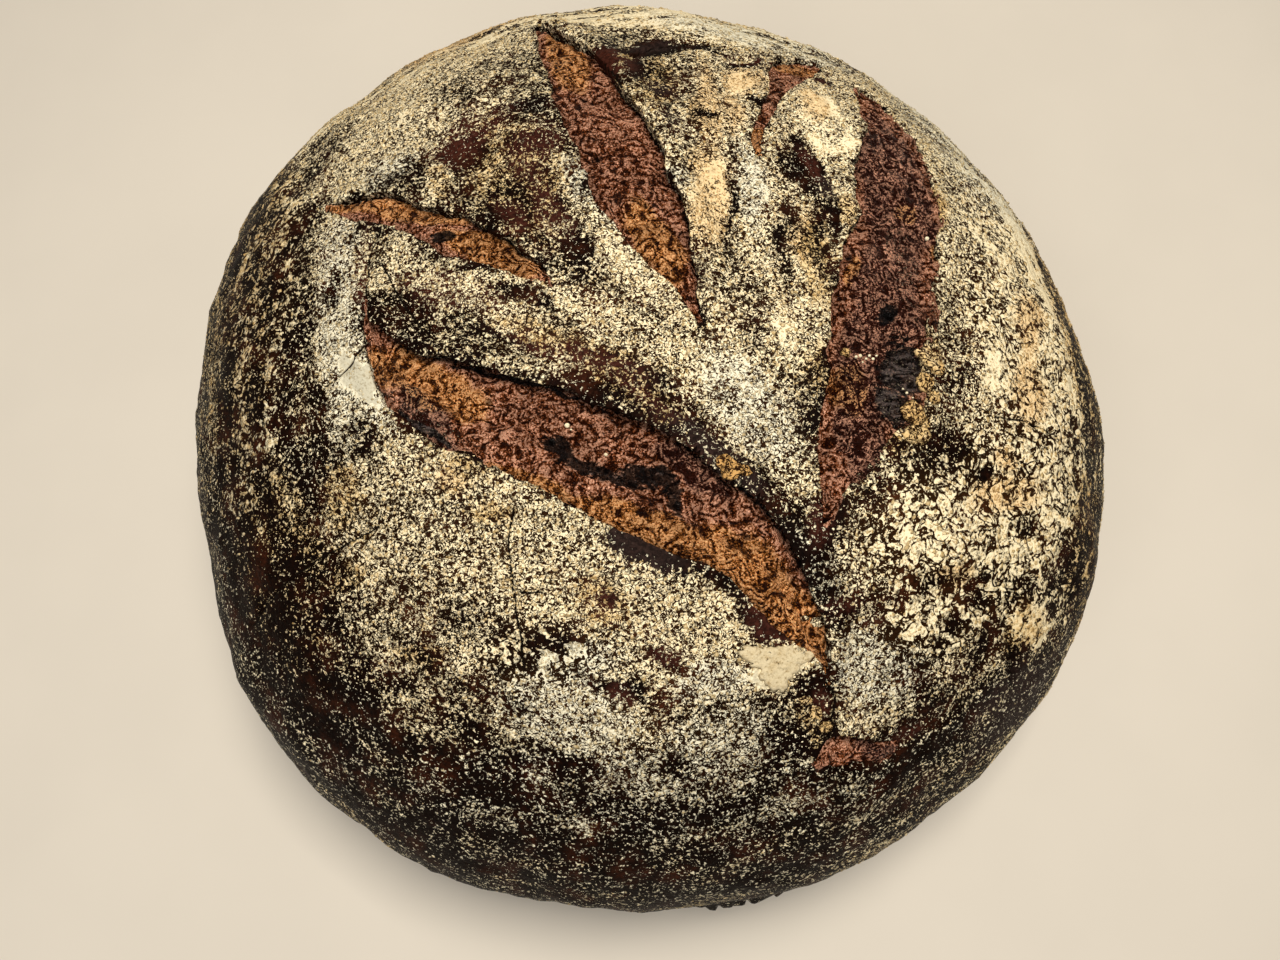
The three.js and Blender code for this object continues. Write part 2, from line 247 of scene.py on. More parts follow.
# Where the crust and its flour are tinted: (x, y, half length, half width, turn in degrees).
CRUST_TINTS = {
    # warmly toasted flour
    "peach": (
        (15.2, 35, 15, 4.6, 91), (34, 25, 6, 3, 95), (15.6, 62, 15, 3, 96), (24, 69, 6, 5, 100),
        (39.5, 62.5, 6, 3.5, 110), (21, 58, 7, 2.5, 90), (86, -4, 9, 5, 75), (88, 12, 9, 4, 80),
        (-50, 98, 20, 8, 20), (44, 31, 5, 2, 90), (-38, -28, 4, 3, 0), (78, -28, 9, 4, 20),
        (65, -46, 5, 3, 0), (14, 56, 8, 3, 95), (77, -21, 4, 3, 0), (66.8, 39, 6, 3.2, 100),
    ),
    # raw white flour
    "cool": (
        (-65, 8, 32, 7, 97), (-56, -8, 12, 6, -62), (-57, 45, 9, 5, 20), (23.5, 38, 13, 3, 94),
        (22, -14, 14, 8, -52), (45, -65, 9, 8, -60), (18, -80, 15, 9, 0), (-15, -73, 16, 9, -15),
        (80, 72, 36, 12, 125), (14, -68, 9, 4, 0), (-13, -64, 9, 4, 0), (52, -66, 8, 6, 0),
        (-13.5, 37, 7, 2.4, -72), (96, 60, 30, 10, 115), (-8, 33, 10, 3, -60), (34, -44, 9, 5, -60),
        (8, 38, 3, 2, 0), (0, -90, 60, 12, 0), (-92, 0, 60, 12, 92), (30, 91, 28, 7, -10),
        (80, 68, 32, 13, 118),
    ),
    # thin flour that has browned
    "toasted": (
        (-94, 20, 60, 16, 92), (-78, -44, 34, 14, -70), (-61, -47, 4, 3, 0), (-44, -62, 6, 3, 0),
        (-7, -53, 6, 4, 0), (35.5, -6, 6, 4, 80), (60, -1, 6, 4, 80), (57, -13, 8, 4, 60),
        (83, -56, 7, 5, 60), (66.8, 39, 7, 3.2, 100), (34, -75.6, 7, 3, -58), (104, -36, 20, 9, 80),
        (104, 20, 40, 7, 95), (-2, -11, 14, 4, -26), (52, -21, 5, 3, -30), (-14, -1, 20, 3, -22),
        (-28, 40, 20, 12, -70), (4, 68, 12, 6, 88), (-4.3, 75, 4, 6, 0), (37, 20, 14, 4, 95),
        (-62, -30, 5, 8, 0), (4, -15, 6, 2, -25), (-30, -34, 5, 3, 0), (-44, 40, 6, 3, 110),
        (-41, -18.4, 16, 4, -39),
    ),
    # flour in larger flakes with wide gaps
    "flaked": (
        (78, -38, 34, 24, 10), (60, -56, 14, 7, 0), (94, 10, 60, 22, 90), (-20, -62, 10, 6, 0),
        (-88, 10, 60, 12, 92), (12, 98, 60, 12, -4),
    ),
    # bare crust, scorched bluish black
    "scorched": (
        (-0.5, -42.8, 10, 3.6, -22), (15, -23.5, 13, 2.2, -38), (4.6, 63.5, 3, 2.4, 0),
        (7, 53, 2.5, 4, 20), (2, 81, 7, 2, 20), (84, -72, 14, 8, 40), (43, 38, 5, 3, 0),
    ),
    # bare crust, a lighter red-brown
    "ruddy": (
        (-38, 54, 12, 7, 50), (-24, 46, 8, 6, 60), (-20, 31, 10, 3, -60), (-14, -3, 18, 3, -24),
        (-40, 12, 14, 4, -20), (24.5, -56, 7, 4, -50), (40, -52.5, 4, 1.5, -12), (2, -13.5, 10, 1.4, -26),
        (-28, 29, 6, 3, -50), (37, -36, 6, 3, 85), (4, -62.6, 4, 2, 0), (-3, -69.5, 3.4, 1.8, -10),
        (-58.8, 17, 6, 1, 92), (-60, 20, 12, 1.6, 95), (38, 45, 6, 2, 112), (35.6, -71.6, 3, 1.6, -70),
        (47.5, -57.4, 3, 1.2, 0), (-8, 74, 8, 4, -38), (56, -77.4, 5, 1.4, 18), (25, 78, 7, 2, 0),
        (43.6, 72.6, 4, 2, -10), (-7, -53, 4, 3, -40),
    ),
}

# Cakes of flour that stand clear of the crust: the outline in plan, the thickness, and how toasted and how
# peach they are.
CAKES = (
    (
        (
            (20, -61.2), (24, -61.8), (28, -61.3), (32, -61.8), (35.8, -62.3), (32.8, -64.3),
            (30.8, -66.6), (29, -69.2), (26.2, -69.8), (24.2, -68.2), (23.2, -65.4), (20.6, -64.2),
            (19.4, -62.4),
        ),
        0.8, 0.25, 0.25,
    ),
    (
        (
            (14.4, -25.6), (15.6, -24.8), (18, -25.2), (18.8, -26.4), (21, -26.8), (21.6, -28),
            (19.6, -28.8), (17.6, -29.6), (15.8, -29.2), (15.4, -27.6),
        ),
        0.5, 1.6, 0.6,
    ),
    (
        (
            (57.2, -0.4), (58.8, 0.6), (61.4, 0.5), (62.9, -1.4), (62.8, -4.4), (61.4, -5.2),
            (60.4, -3.4), (58.6, -2),
        ),
        0.8, 0.9, 0.8,
    ),
    (
        (
            (44.6, 36.6), (46.4, 35.4), (46.9, 33), (46.4, 30), (45, 28.2), (43.2, 28.4), (43.6, 31.6),
            (43.4, 34.8),
        ),
        0.8, 1, 0.4,
    ),
)

# Round lumps of flour along the scores' edges: (x, y, radius across, radius up, thickness, toasted, peach).
LUMPS = (
    (59.4, -6.9, 2.1, 2.4, 0.7, 1.25, 0.8), (55.9, -14, 2.8, 2.6, 0.8, 1.35, 0.8),
    (56.8, -18.4, 3.4, 2, 0.5, 1.15, 0.6), (62.6, -3.2, 1.5, 2, 0.5, 1.3, 0.8),
    (61.4, -9.8, 1.4, 1.7, 0.4, 1.2, 0.8), (58.6, -15.4, 1.6, 1.4, 0.4, 1.2, 0.7),
    (35.2, -74, 1.5, 1.2, 0.4, 1.3, 0.2), (37.2, -76.8, 1.4, 1.2, 0.3, 1.3, 0.2),
    (33, -71.5, 1.6, 0.9, 0.3, 1.2, 0.2), (38.4, -62.8, 1, 1.7, 0.4, 0.2, 0.2),
    (37.8, -59.2, 1.4, 0.9, 0.4, 0.1, 0.1), (35.4, -56.2, 2, 0.9, 0.5, 0, 0.1),
    (32.8, -55.6, 0.9, 0.6, 0.3, 0, 0.1), (42.6, -1.2, 1.5, 1, 0.3, 1.4, 0.4),
)

# White crumbs that have fallen on the dough: (x, y, radius).
CRUMBS = (
    (-14.8, -18, 0.65), (-7, -24, 0.5), (44.6, -2.2, 0.4), (45.6, -1.8, 0.45), (46.8, -2.4, 0.35),
    (47.6, -1.6, 0.4), (48.4, -2.2, 0.45), (46, -3.2, 0.3), (49.2, -1.4, 0.3), (-14, -18.8, 0.3),
    (63.8, 29, 0.6), (60.2, -11.2, 0.35), (55, -9.6, 0.35), (54.2, -8.8, 0.25), (56.2, -10.6, 0.3),
)

# Where the dough is tinted: (x, y, half length, half width, turn in degrees).
DOUGH_TINTS = {
    # the thinner, lower dough
    "orange": (
        (-44, -8, 16, 6, -30), (-22, -31, 12, 4, -26), (0, -39, 20, 4.5, -14), (22, -50, 16, 9, -48),
        (34, -60, 12, 7, -65), (3, 22, 12, 5, -65), (-18, 78, 16, 5, -72), (-54, 35, 20, 4, -14),
        (-32, 21, 14, 5, -22), (59, 35, 3, 2.5, 80), (42, -9, 6, 4, 80), (38, 79, 6, 3, 20),
        (45, 18, 4, 2, 80), (65, 26, 4, 2, 80), (26, 49, 5, 3, 90),
    ),
    # burnt dough
    "scorched": (
        (54.5, -5, 5, 8, 0), (51.5, -13, 5.5, 3.2, -50), (51.8, 7.4, 2.2, 2, 0),
        (-44.5, -17.5, 8, 0.7, -40), (-15.5, -22.5, 4.6, 1.7, -40), (-9.5, -26.8, 7, 1.8, -16),
        (1.5, -28.8, 7, 2.7, -14), (-4, -29.2, 6, 2, -20), (6.8, -33, 4.2, 1.7, -60),
        (18, -28, 8, 1.2, -40), (-43.4, 25.5, 3.4, 1.5, -10), (-24, -8, 16, 0.8, -16),
    ),
    # fine flour that has settled on the dough
    "ashy": (
        (54.5, -5.5, 4.5, 7, 0), (51.5, -13.5, 5, 3, -50), (-43, -17, 13, 3.5, -40), (57, 20, 3, 14, 5),
    ),
    # cooler, darker dough
    "purple": (
        (57, 42, 24, 9, 92), (49, -2, 18, 9, 84), (10, -27, 10, 3, -38), (52, 10, 17, 9, 85),
        (62, 34, 9, 5, 95), (54, 40, 9, 5, 85), (46, -24, 8, 4, 80), (-44, -16, 12, 3, -50),
        (58, 60, 9, 3, 100), (44, -14, 12, 5, 80), (49, -80.8, 6, 1.6, 8), (56, 24, 9, 7, 85),
        (58, 52, 12, 6, 95),
    ),
}

# Small open pores in the dough: (x, y, radius, depth).
PORES = (
    (52.4, 7.7, 1.3, 2.2), (44.5, 21, 0.9, 1.2), (57.5, 30, 0.8, 1), (-9.5, 44, 0.9, 1.1),
    (1, 31, 0.8, 0.9), (-31, -12.5, 0.8, 0.9), (-18, -21, 0.9, 1), (21, -40, 0.8, 0.8), (49, -4, 0.9, 1),
    (-47, 32, 0.8, 0.9), (-13, 62, 0.8, 1), (61.5, 44, 0.8, 0.9), (5, -31, 1, 1.2),
)


def tone(hex_code):
    """The linear colour of a six-digit web colour."""
    shares = [((hex_code >> shift) & 255) / 255.0 for shift in (16, 8, 0)]
    return [s / 12.92 if s <= 0.04045 else ((s + 0.055) / 1.055) ** 2.4 for s in shares]


def colour_property(name, description, hex_code):
    """A colour that a user can change."""
    kind = {"subtype": "COLOR", "size": 3, "min": 0.0, "max": 1.0}
    return FloatVectorProperty(name=name, description=description, default=tone(hex_code), **kind)


def length_property(name, description, millimetres):
    """A length that a user can change, held in metres."""
    return FloatProperty(name=name, description=description, unit="LENGTH", default=millimetres * MM)


class CrustSettings(bpy.types.PropertyGroup):
    """Sizes and colours of the crust."""

    rings: IntProperty(
        name="Rings", description="Rings of the crust's mesh, top to foot", default=144, min=20, max=150
    )
    lump_height: length_property("Lumps", "How far the crust's lumps rise and sink", 0.55)
    crack_depth: length_property("Cracks", "Depth of the hairline cracks", 0.9)
    flour_thickness: length_property("Caked flour", "How thick the flour is where it covers all", 0.3)
    dark: colour_property("Dark crust", "The darkest baked crust", 0x0E0401)
    brown: colour_property("Brown crust", "The browner crust on the crown", 0x36180A)
    scorched: colour_property("Scorched crust", "Bare scorched crust beside the scores", 0x2A1E1A)
    ruddy: colour_property("Ruddy crust", "Bare red-brown crust", 0x46231A)
    dusted: colour_property("Dusted crust", "Crust that shows through thin flour", 0x583614)
    foot: colour_property("Foot", "The flat baked foot", 0x5A3A20)


class DoughSettings(bpy.types.PropertyGroup):
    """Sizes and colours of the dough inside the scores."""

    spacing: length_property("Mesh spacing", "Spacing of the dough's mesh", 0.28)
    wrinkle_height: length_property("Wrinkles", "Height of the dough's fine wrinkles", 0.50)
    # The dark dough is painted shade in the creases; the tan and rosy strands are partly the strands' own
    # paler colour and partly painted highlight.
    dark: colour_property("Dark dough", "Dough in the wrinkles", 0x260B02)
    brown: colour_property("Red-brown dough", "The burst dough's main colour", 0x8E4A22)
    orange: colour_property("Orange dough", "Dough on the lower, thinner edge", 0xBA7030)
    tan: colour_property("Tan strands", "The lightest strands of dough", 0xFAB87C)
    rosy_strand_highlight: colour_property("Rosy strands", "Pale strands on the darker dough", 0xE2A686)
    purple: colour_property("Purple-brown dough", "Cooler, darker dough", 0x48211A)
    scorched: colour_property("Scorched dough", "Burnt dough in the furrow", 0x0E0A09)
    ash: colour_property("Ashen strands", "Pale fibres on the burnt dough", 0x7A6C66)


class FlourSettings(bpy.types.PropertyGroup):
    """Sizes and colours of the flour on the crust."""

    grain: length_property("Flour grain", "Spacing of the clumps of flour", 0.64)
    most: FloatProperty(name="Amount", description="Share of grains kept", default=1.0, min=0.0, max=1.0)
    seed: IntProperty(name="Seed", description="Seed of the flour's scatter", default=7)
    cream: colour_property("Cream flour", "The flour's main colour", 0xFAE9C0)
    peach: colour_property("Peach flour", "Warmly toasted flour", 0xEED09E)
    cool: colour_property("Cool flour", "Raw white flour", 0xE9E2C8)
    toasted: colour_property("Toasted flour", "Thin flour that has browned", 0xD6B272)


class StageSettings(bpy.types.PropertyGroup):
    """The camera, the lights and the floor."""

    elevation: FloatProperty(
        name="Elevation",
        description="How steeply the camera looks down",
        subtype="ANGLE",
        default=math.radians(76.0),
    )
    distance: length_property("Distance", "From the camera to the point that it looks at", 252.2)
    lens: FloatProperty(name="Lens", description="Focal length in millimetres", default=27.5)
    floor: colour_property("Floor", "The plain floor's colour", 0xD6CCBC)
    key_power: FloatProperty(name="Key light", description="Power of the large light in watts", default=4.3)


# ---------------------------------------------------------------- shapes in plan and profile


def smooth(value):
    """Eases from 0 to 1 as value goes from 0 to 1."""
    held = np.clip(value, 0.0, 1.0)
    return held * held * (3.0 - 2.0 * held)


def fade(distance, reach):
    """Eases from 1 to 0 as distance goes from 0 to reach."""
    return 1.0 - smooth(distance / reach)


def by_side(side, pair):
    """The first of a pair to the left of a score, where side is above 0, and the second to its right."""
    return np.where(side > 0.0, pair[0], pair[1])


def belly_radius(angle):
    """The loaf's widest radius in each direction."""
    share = np.ones_like(angle)
    for order, part, turn in OUTLINE_WAVES:
        share = share + part * np.cos(order * angle - math.radians(turn))
    return BELLY_RADIUS * share


def crown_height(across):
    """The dome's height at a share of the belly's radius."""
    up = np.maximum(1.0 - np.minimum(across, 1.0) ** CROWN_POWER_ACROSS, 0.0) ** (1.0 / CROWN_POWER_UP)
    return BELLY_HEIGHT + (DOME_HEIGHT - BELLY_HEIGHT) * up


def underside(turn):
    """(share of the radius, height) below the belly; turn goes from 0 to a quarter turn at the foot."""
    out = np.maximum(np.cos(turn), 0.0) ** (2.0 / UNDERSIDE_POWER)
    down = np.maximum(np.sin(turn), 0.0) ** (2.0 / UNDERSIDE_POWER)
    return FOOT_RATIO + (1.0 - FOOT_RATIO) * out, BELLY_HEIGHT * (1.0 - down)


def dome_height_at(x, y):
    """The smooth dome's height over places in plan."""
    return crown_height(np.hypot(x, y) / belly_radius(np.arctan2(y, x)))


def swell(x, y):
    """Slow rise and fall of the crust."""
    first, second, third = (2.0 * math.pi / length for length in SWELL_LENGTHS)
    waves = np.sin(first * x + 1.0) + np.sin(second * y + 2.0) + np.sin(third * (x + y) + 3.0)
    return SWELL_HEIGHT * waves / len(SWELL_LENGTHS)


# The noise repeats after this many lumps. Each layer of layered noise is this much lower than the last.
LATTICE = 64
LAYER_HEIGHT = 0.55


def lumps(points, size, seed):
    """Smooth noise from -1 to 1 whose lumps are about size across."""
    corners = np.random.default_rng(seed).uniform(-1.0, 1.0, (LATTICE, LATTICE, LATTICE))
    scaled = points / size
    cell = np.floor(scaled).astype(int)
    part = smooth(scaled - cell)
    total = np.zeros(len(points))
    for corner in itertools.product((0, 1), repeat=3):
        weight = np.prod(np.where(corner, part, 1.0 - part), axis=1)
        i, j, k = ((cell + corner) % LATTICE).T
        total += weight * corners[i, j, k]
    return total


def rough(points, size, seed, layers=4):
    """Layered noise: each layer is half the size of the last, and lower."""
    total = np.zeros(len(points))
    height = 1.0
    for layer in range(layers):
        total += height * lumps(points, size / 2.0**layer, seed + layer)
        height *= LAYER_HEIGHT
    return total


def warped(points, waves, seed):
    """The points in plan, pushed about by noise. waves: (how far it pushes, its size)."""
    moved = [points[:, 0], points[:, 1]]
    for axis in (0, 1):
        for i, (push, size) in enumerate(waves):
            moved[axis] = moved[axis] + push * lumps(points, size, seed + axis * len(waves) + i)
    return moved


# A patch is whole to this share of its size, and fades out over this share.
PATCH_CORE = 0.55
PATCH_FADE = 0.75


def patch_weight(x, y, patch):
    """1 inside an oval patch, easing to 0 outside it."""
    centre_x, centre_y, half_length, half_width, turn = patch
    cos, sin = math.cos(math.radians(turn)), math.sin(math.radians(turn))
    along = (x - centre_x) * cos + (y - centre_y) * sin
    across = (y - centre_y) * cos - (x - centre_x) * sin
    reach = np.hypot(along / half_length, across / half_width)
    return fade(reach - PATCH_CORE, PATCH_FADE)


def patches_share(x, y, patches):
    """The strongest patch over each place."""
    share = np.zeros_like(x)
    for patch in patches:
        share = np.maximum(share, patch_weight(x, y, patch))
    return share


def bent_line(stations, samples):
    """A smooth line through the stations, sampled evenly in its own parameter."""
    points = np.array(stations, float)
    steps = np.hypot(*np.diff(points[:, :2], axis=0).T) ** 0.5
    knots = np.concatenate(([0.0], np.cumsum(steps)))
    slopes = np.gradient(points, knots, axis=0)
    places = np.linspace(0.0, knots[-1], samples)
    piece = np.clip(np.searchsorted(knots, places, side="right") - 1, 0, len(knots) - 2)
    width = (knots[piece + 1] - knots[piece])[:, None]
    t = (places - knots[piece])[:, None] / width
    start, end = points[piece], points[piece + 1]
    leave, arrive = slopes[piece] * width, slopes[piece + 1] * width
    return (
        (2 * t**3 - 3 * t**2 + 1) * start
        + (t**3 - 2 * t**2 + t) * leave
        + (3 * t**2 - 2 * t**3) * end
        + (t**3 - t**2) * arrive
    )


SCORE_SAMPLES = 260
LEAST_HALF_WIDTH = 0.3

# How ragged a score's edges are, the size of their tears, how far the edge keeps off the score's line, and
# how far from the other side's noise each side's is read.
RAGGED_EDGE = 0.95
TEAR_SIZE = 6.0
LEAST_EDGE = 0.2
SIDE_APART = 40.0


class ScoreLine:
    """One score's line: its places, half widths, the way that it runs and its ragged edges."""

    def __init__(self, name, seed):
        facts = SCORES[name]
        line = bent_line(facts["stations"], SCORE_SAMPLES)
        self.name = name
        self.seed = seed
        self.lips = facts["lips"]
        self.overhang = facts["overhang"]
        self.floor = np.array(facts["floor"])
        self.places = line[:, :2]
        self.half_width = np.maximum(line[:, 2], LEAST_HALF_WIDTH)
        way = np.gradient(self.places, axis=0)
        self.way = way / np.linalg.norm(way, axis=1)[:, None]
        self.length = float(np.sum(np.hypot(*np.diff(self.places, axis=0).T)))

    def left(self):
        """Unit steps to the left of the way that the score runs."""
        return np.stack((-self.way[:, 1], self.way[:, 0]), axis=1)

    def edge_width(self, index, side):
        """The half width on one side, with its ragged edge."""
        width = self.half_width[index]
        places = np.stack((self.places[index, 0], self.places[index, 1], SIDE_APART * side), axis=1)
        torn = rough(places, TEAR_SIZE, self.seed, 4) * RAGGED_EDGE * np.minimum(width / 3.0, 1.0)
        return np.maximum(width + torn, LEAST_EDGE)

    def nearest(self, x, y):
        """For each place: nearest sample, distance past the edge, side (1 left, -1 right), way there."""
        index = np.zeros(len(x), int)
        least = np.full(len(x), np.inf)
        for i, (px, py) in enumerate(self.places):
            distance = (x - px) ** 2 + (y - py) ** 2
            closer = distance < least
            index[closer] = i
            least[closer] = distance[closer]
        least = np.sqrt(least)
        away = np.stack((x, y), axis=1) - self.places[index]
        lateral = self.way[index, 0] * away[:, 1] - self.way[index, 1] * away[:, 0]
        side = np.where(lateral >= 0.0, 1.0, -1.0)
        edge = least - self.edge_width(index, side)
        for lobe_x, lobe_y, radius, reach in EDGE_LOBES:
            edge = edge + reach * fade(np.hypot(x - lobe_x, y - lobe_y), radius)
        return index, edge, side, away


# Stands for a distance where nothing is near.
FAR = 99.0


def crack_distance(x, y):
    """Signed distance to the nearest hairline crack, far away where there is none."""
    least = np.full(len(x), FAR)
    signed = np.full(len(x), FAR)
    for crack in CRACKS:
        for start, end in itertools.pairwise(np.array(crack)):
            run = end - start
            t = np.clip(((x - start[0]) * run[0] + (y - start[1]) * run[1]) / (run @ run), 0.0, 1.0)
            off_x, off_y = x - start[0] - t * run[0], y - start[1] - t * run[1]
            distance = np.hypot(off_x, off_y)
            closer = distance < least
            sign = np.where(run[0] * off_y - run[1] * off_x >= 0.0, 1.0, -1.0)
            least = np.where(closer, distance, least)
            signed = np.where(closer, sign * distance, signed)
    return signed


# ---------------------------------------------------------------- meshes


def mesh_object(name, points, faces, attributes=None):
    """A new object from points in millimetres from the dome's axis, set in metres in the part's frame."""
    placed = np.asarray(points, float) * MM + np.array((*DOME_AXIS, 0.0)) * MM
    mesh = bpy.data.meshes.new(name)
    mesh.from_pydata(placed.tolist(), [], faces)
    for label, values in (attributes or {}).items():
        layer = mesh.attributes.new(label, "FLOAT", "POINT")
        layer.data.foreach_set("value", np.asarray(values, np.float32))
    mesh.validate()
    mesh.shade_smooth()
    piece = bpy.data.objects.new(name, mesh)
    bpy.context.scene.collection.objects.link(piece)
    return piece


def finish_piece(piece, material):
    """Gives a piece its material and makes it ride on the loaf."""
    piece.data.materials.clear()
    piece.data.materials.append(material)
    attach(piece, BODY)
    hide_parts(NODE)


def grid_faces(rows, columns):
    """The quads of a grid whose points are numbered row by row."""
    i, j = np.meshgrid(np.arange(rows - 1), np.arange(columns - 1), indexing="ij")
    corner = (i * columns + j).ravel()
    return np.stack((corner, corner + columns, corner + columns + 1, corner + 1), axis=1)


# Shares of the crust's rings: on the top to this share of the radius, down to the belly, and below it.
TOP_SHARE = 0.86
TOP_RINGS = 0.70
SHOULDER_RINGS = 0.16


def ring_profile(rings):
    """(share of the radius, height) of each ring, from the top's middle to the edge of the foot."""
    top = round(rings * TOP_RINGS)
    shoulder = round(rings * SHOULDER_RINGS)
    shares = np.linspace(0.0, TOP_SHARE, top + 1)
    turns = np.linspace(math.asin(TOP_SHARE), math.pi / 2.0, shoulder + 1)[1:]
    shares = np.concatenate((shares, np.sin(turns)))
    down = np.linspace(0.0, math.pi / 2.0, rings - top - shoulder + 1)[1:]
    under_shares, under_heights = underside(down)
    return np.concatenate((shares, under_shares)), np.concatenate((crown_height(shares), under_heights))


def smooth_loaf(rings):
    """The smooth loaf as a square grid wrapped over it: its points and their outward directions."""
    shares, heights = ring_profile(rings)
    steps = np.arange(-rings, rings + 1)
    i, j = np.meshgrid(steps, steps, indexing="ij")
    ring = np.maximum(np.abs(i), np.abs(j))
    whole = np.maximum(ring, 1)
    eighth = math.pi / 4.0
    angle = np.where(
        np.abs(i) >= np.abs(j),
        np.where(i >= 0, 0.0, math.pi) + eighth * j / whole * np.where(i >= 0, 1.0, -1.0),
        np.where(j >= 0, 2.0 * eighth, -2.0 * eighth) - eighth * i / whole * np.where(j >= 0, 1.0, -1.0),
    )
    radius = shares[ring] * belly_radius(angle)
    points = np.stack((radius * np.cos(angle), radius * np.sin(angle), heights[ring]), axis=-1)
    along_i, along_j = np.gradient(points, axis=(0, 1))
    outward = np.cross(along_i, along_j)
    outward /= np.linalg.norm(outward, axis=-1)[..., None]
    return points, outward


# The crust at a score, in millimetres from the score's edge. Points within SNAP of the edge are moved on
# to it. The lip fades over LIP_FADE and dips at its rim; the overhang fades over OVERHANG_FADE; inside,
# the crust sinks out of sight over WALL, and is moved out over TUCK_WIDTH. Only the crust within NEAR_SCORE
# of the score, and this far above the belly, is looked at.
ABOVE_BELLY = 5.0
NEAR_SCORE = 14.0
SNAP = 0.72
LIP_FADE = 6.5
RIM_DIP = 0.35
RIM_WIDTH = 1.2
OVERHANG_FADE = 2.6
WALL = 0.9
HIDDEN_DEPTH = 5.0
TUCK = 0.9
TUCK_WIDTH = 2.0

# The cracks wander off their lines by this much, and their grooves are this wide.
CRACK_WANDER = 0.35
CRACK_HALF_WIDTH = 0.9
# What the crust's crack attribute says away from any crack.
NO_CRACK = 9.0


def open_scores(points, outward, score_lines):
    """Raises the lips, opens the scores and hides the crust below the dough. Returns the edge distance."""
    x, y = points[:, 0].copy(), points[:, 1].copy()
    on_crown = points[:, 2] > BELLY_HEIGHT + ABOVE_BELLY
    past_edge = np.full(len(points), FAR)
    for line in score_lines:
        low, high = line.places.min(0) - NEAR_SCORE, line.places.max(0) + NEAR_SCORE
        near = np.flatnonzero(on_crown & (x > low[0]) & (x < high[0]) & (y > low[1]) & (y < high[1]))
        index, edge, side, away = line.nearest(x[near], y[near])
        opened = np.minimum(line.half_width[index] / 2.0, 1.0)
        lip = by_side(side, line.lips) * opened
        overhang = by_side(side, line.overhang) * opened
        reach = np.linalg.norm(away, axis=1)
        outwards = away / np.maximum(reach, 1e-6)[:, None]
        snapped = np.abs(edge) < SNAP
        points[near[snapped], :2] -= outwards[snapped] * edge[snapped, None]
        edge = np.where(snapped, 0.0, edge)
        outside = edge >= 0.0
        curl = lip * fade(edge, LIP_FADE) - RIM_DIP * lip * fade(edge, RIM_WIDTH)
        inside_drop = -HIDDEN_DEPTH * smooth(-edge / WALL) * opened
        points[near] += outward[near] * np.where(outside, curl, inside_drop)[:, None]
        tucked = TUCK * opened * (edge > -TUCK_WIDTH)
        shift = np.where(outside, -overhang * fade(edge, OVERHANG_FADE), tucked)
        points[near, :2] += outwards * shift[:, None]
        past_edge[near] = np.minimum(past_edge[near], edge)
    return past_edge


def cut_cracks(points, outward, depth):
    """Sinks a narrow groove along each crack, and returns the signed distance to it."""
    signed = crack_distance(points[:, 0], points[:, 1])
    signed = signed + CRACK_WANDER * lumps(points, 2.5, 91)
    points -= outward * (depth * fade(np.abs(signed), CRACK_HALF_WIDTH))[:, None]
    return signed


# The noise that pushes the patches of flour about: (how far, its size).
FLOUR_WARP = ((2.6, 11.0), (1.2, 4.0))
# The flour away from the patches: its share, and how much more lies to the back right.
FLOUR_SHARE = 0.48
FLOUR_LEAN = 0.27
LEAN_TURN = math.radians(60.0)
# The proofing basket's bands on the shoulder, the streaks down the side, and the level where the flour
# gives out, with half the height that this takes.
BAND_PITCH = 9.0
BAND_SHARE = 0.22
BAND_RADIUS = 66.0
STREAK_SHARE = 0.45
STREAK_RADIUS = 92.0
SHOULDER_FADE = 14.0
FLOUR_LEVEL = 35.0
LEVEL_HALF = 13.0


def flour_share(points):
    """How much of the crust the flour covers, from 0 to 1."""
    x, y, z = points.T
    patch_x, patch_y = warped(points, FLOUR_WARP, 21)
    angle = np.arctan2(y, x)
    share = FLOUR_SHARE + FLOUR_LEAN * np.cos(angle - LEAN_TURN)
    for *patch, covered in FLOUR_PATCHES:
        share = share + (covered - share) * patch_weight(patch_x, patch_y, patch)
    radius = np.hypot(x, y)
    bands = np.cos(math.tau * (radius + 2.5 * lumps(points, 14.0, 25)) / BAND_PITCH)
    banded = smooth((radius - BAND_RADIUS) / SHOULDER_FADE) * smooth((0.75 - share) / 0.3)
    share = share * (1.0 + BAND_SHARE * bands * banded)
    around, down = angle * belly_radius(angle) / 12.0, (radius - 0.8 * z) / 2.2
    along = np.stack((around, down, np.zeros_like(x)), axis=1)
    streaks = lumps(along, 1.0, 28) + 0.6 * lumps(along * (1.0, 2.0, 1.0), 1.0, 29)
    share = share * (1.0 + STREAK_SHARE * streaks * smooth((radius - STREAK_RADIUS) / SHOULDER_FADE))
    level = FLOUR_LEVEL + 9.0 * lumps(points, 34.0, 26) + 5.0 * lumps(points, 11.0, 27)
    share = share * smooth((z - level + LEVEL_HALF) / (2.0 * LEVEL_HALF))
    uneven = 0.13 * np.sin(math.pi * np.clip(share, 0.0, 1.0))
    return np.clip(share + uneven * rough(points, 7.0, 31, 3), 0.0, 1.0)


# The noise that pushes the tints about: (how far, its size).
TINT_WARP = ((2.0, 7.0),)
DOUGH_WARP = ((1.6, 5.0),)
# How far up the side the foot's colour reaches.
FOOT_FADE = 27.0


def crust_attributes(points, past_edge, crack):
    """What the crust's material reads at each point."""
    x, y = warped(points, TINT_WARP, 41)
    dusted = smooth(past_edge + 0.9 + 0.8 * lumps(points, 2.4, 45))
    return {
        **{label: patches_share(x, y, patches) for label, patches in CRUST_TINTS.items()},
        "flour": flour_share(points) * dusted,
        "crack": np.clip(crack, -NO_CRACK, NO_CRACK),
        "foot": fade(points[:, 2] - 1.0 + 5.0 * lumps(points, 13.0, 43), FOOT_FADE),
    }


# A torn bit of crust low at the front: (x, z, half length, half height, turn), and how far it stands out.
TORN_PLACE = (24.0, 30.0, 13.0, 9.0, 0.0)
TORN_HEIGHT = 2.6
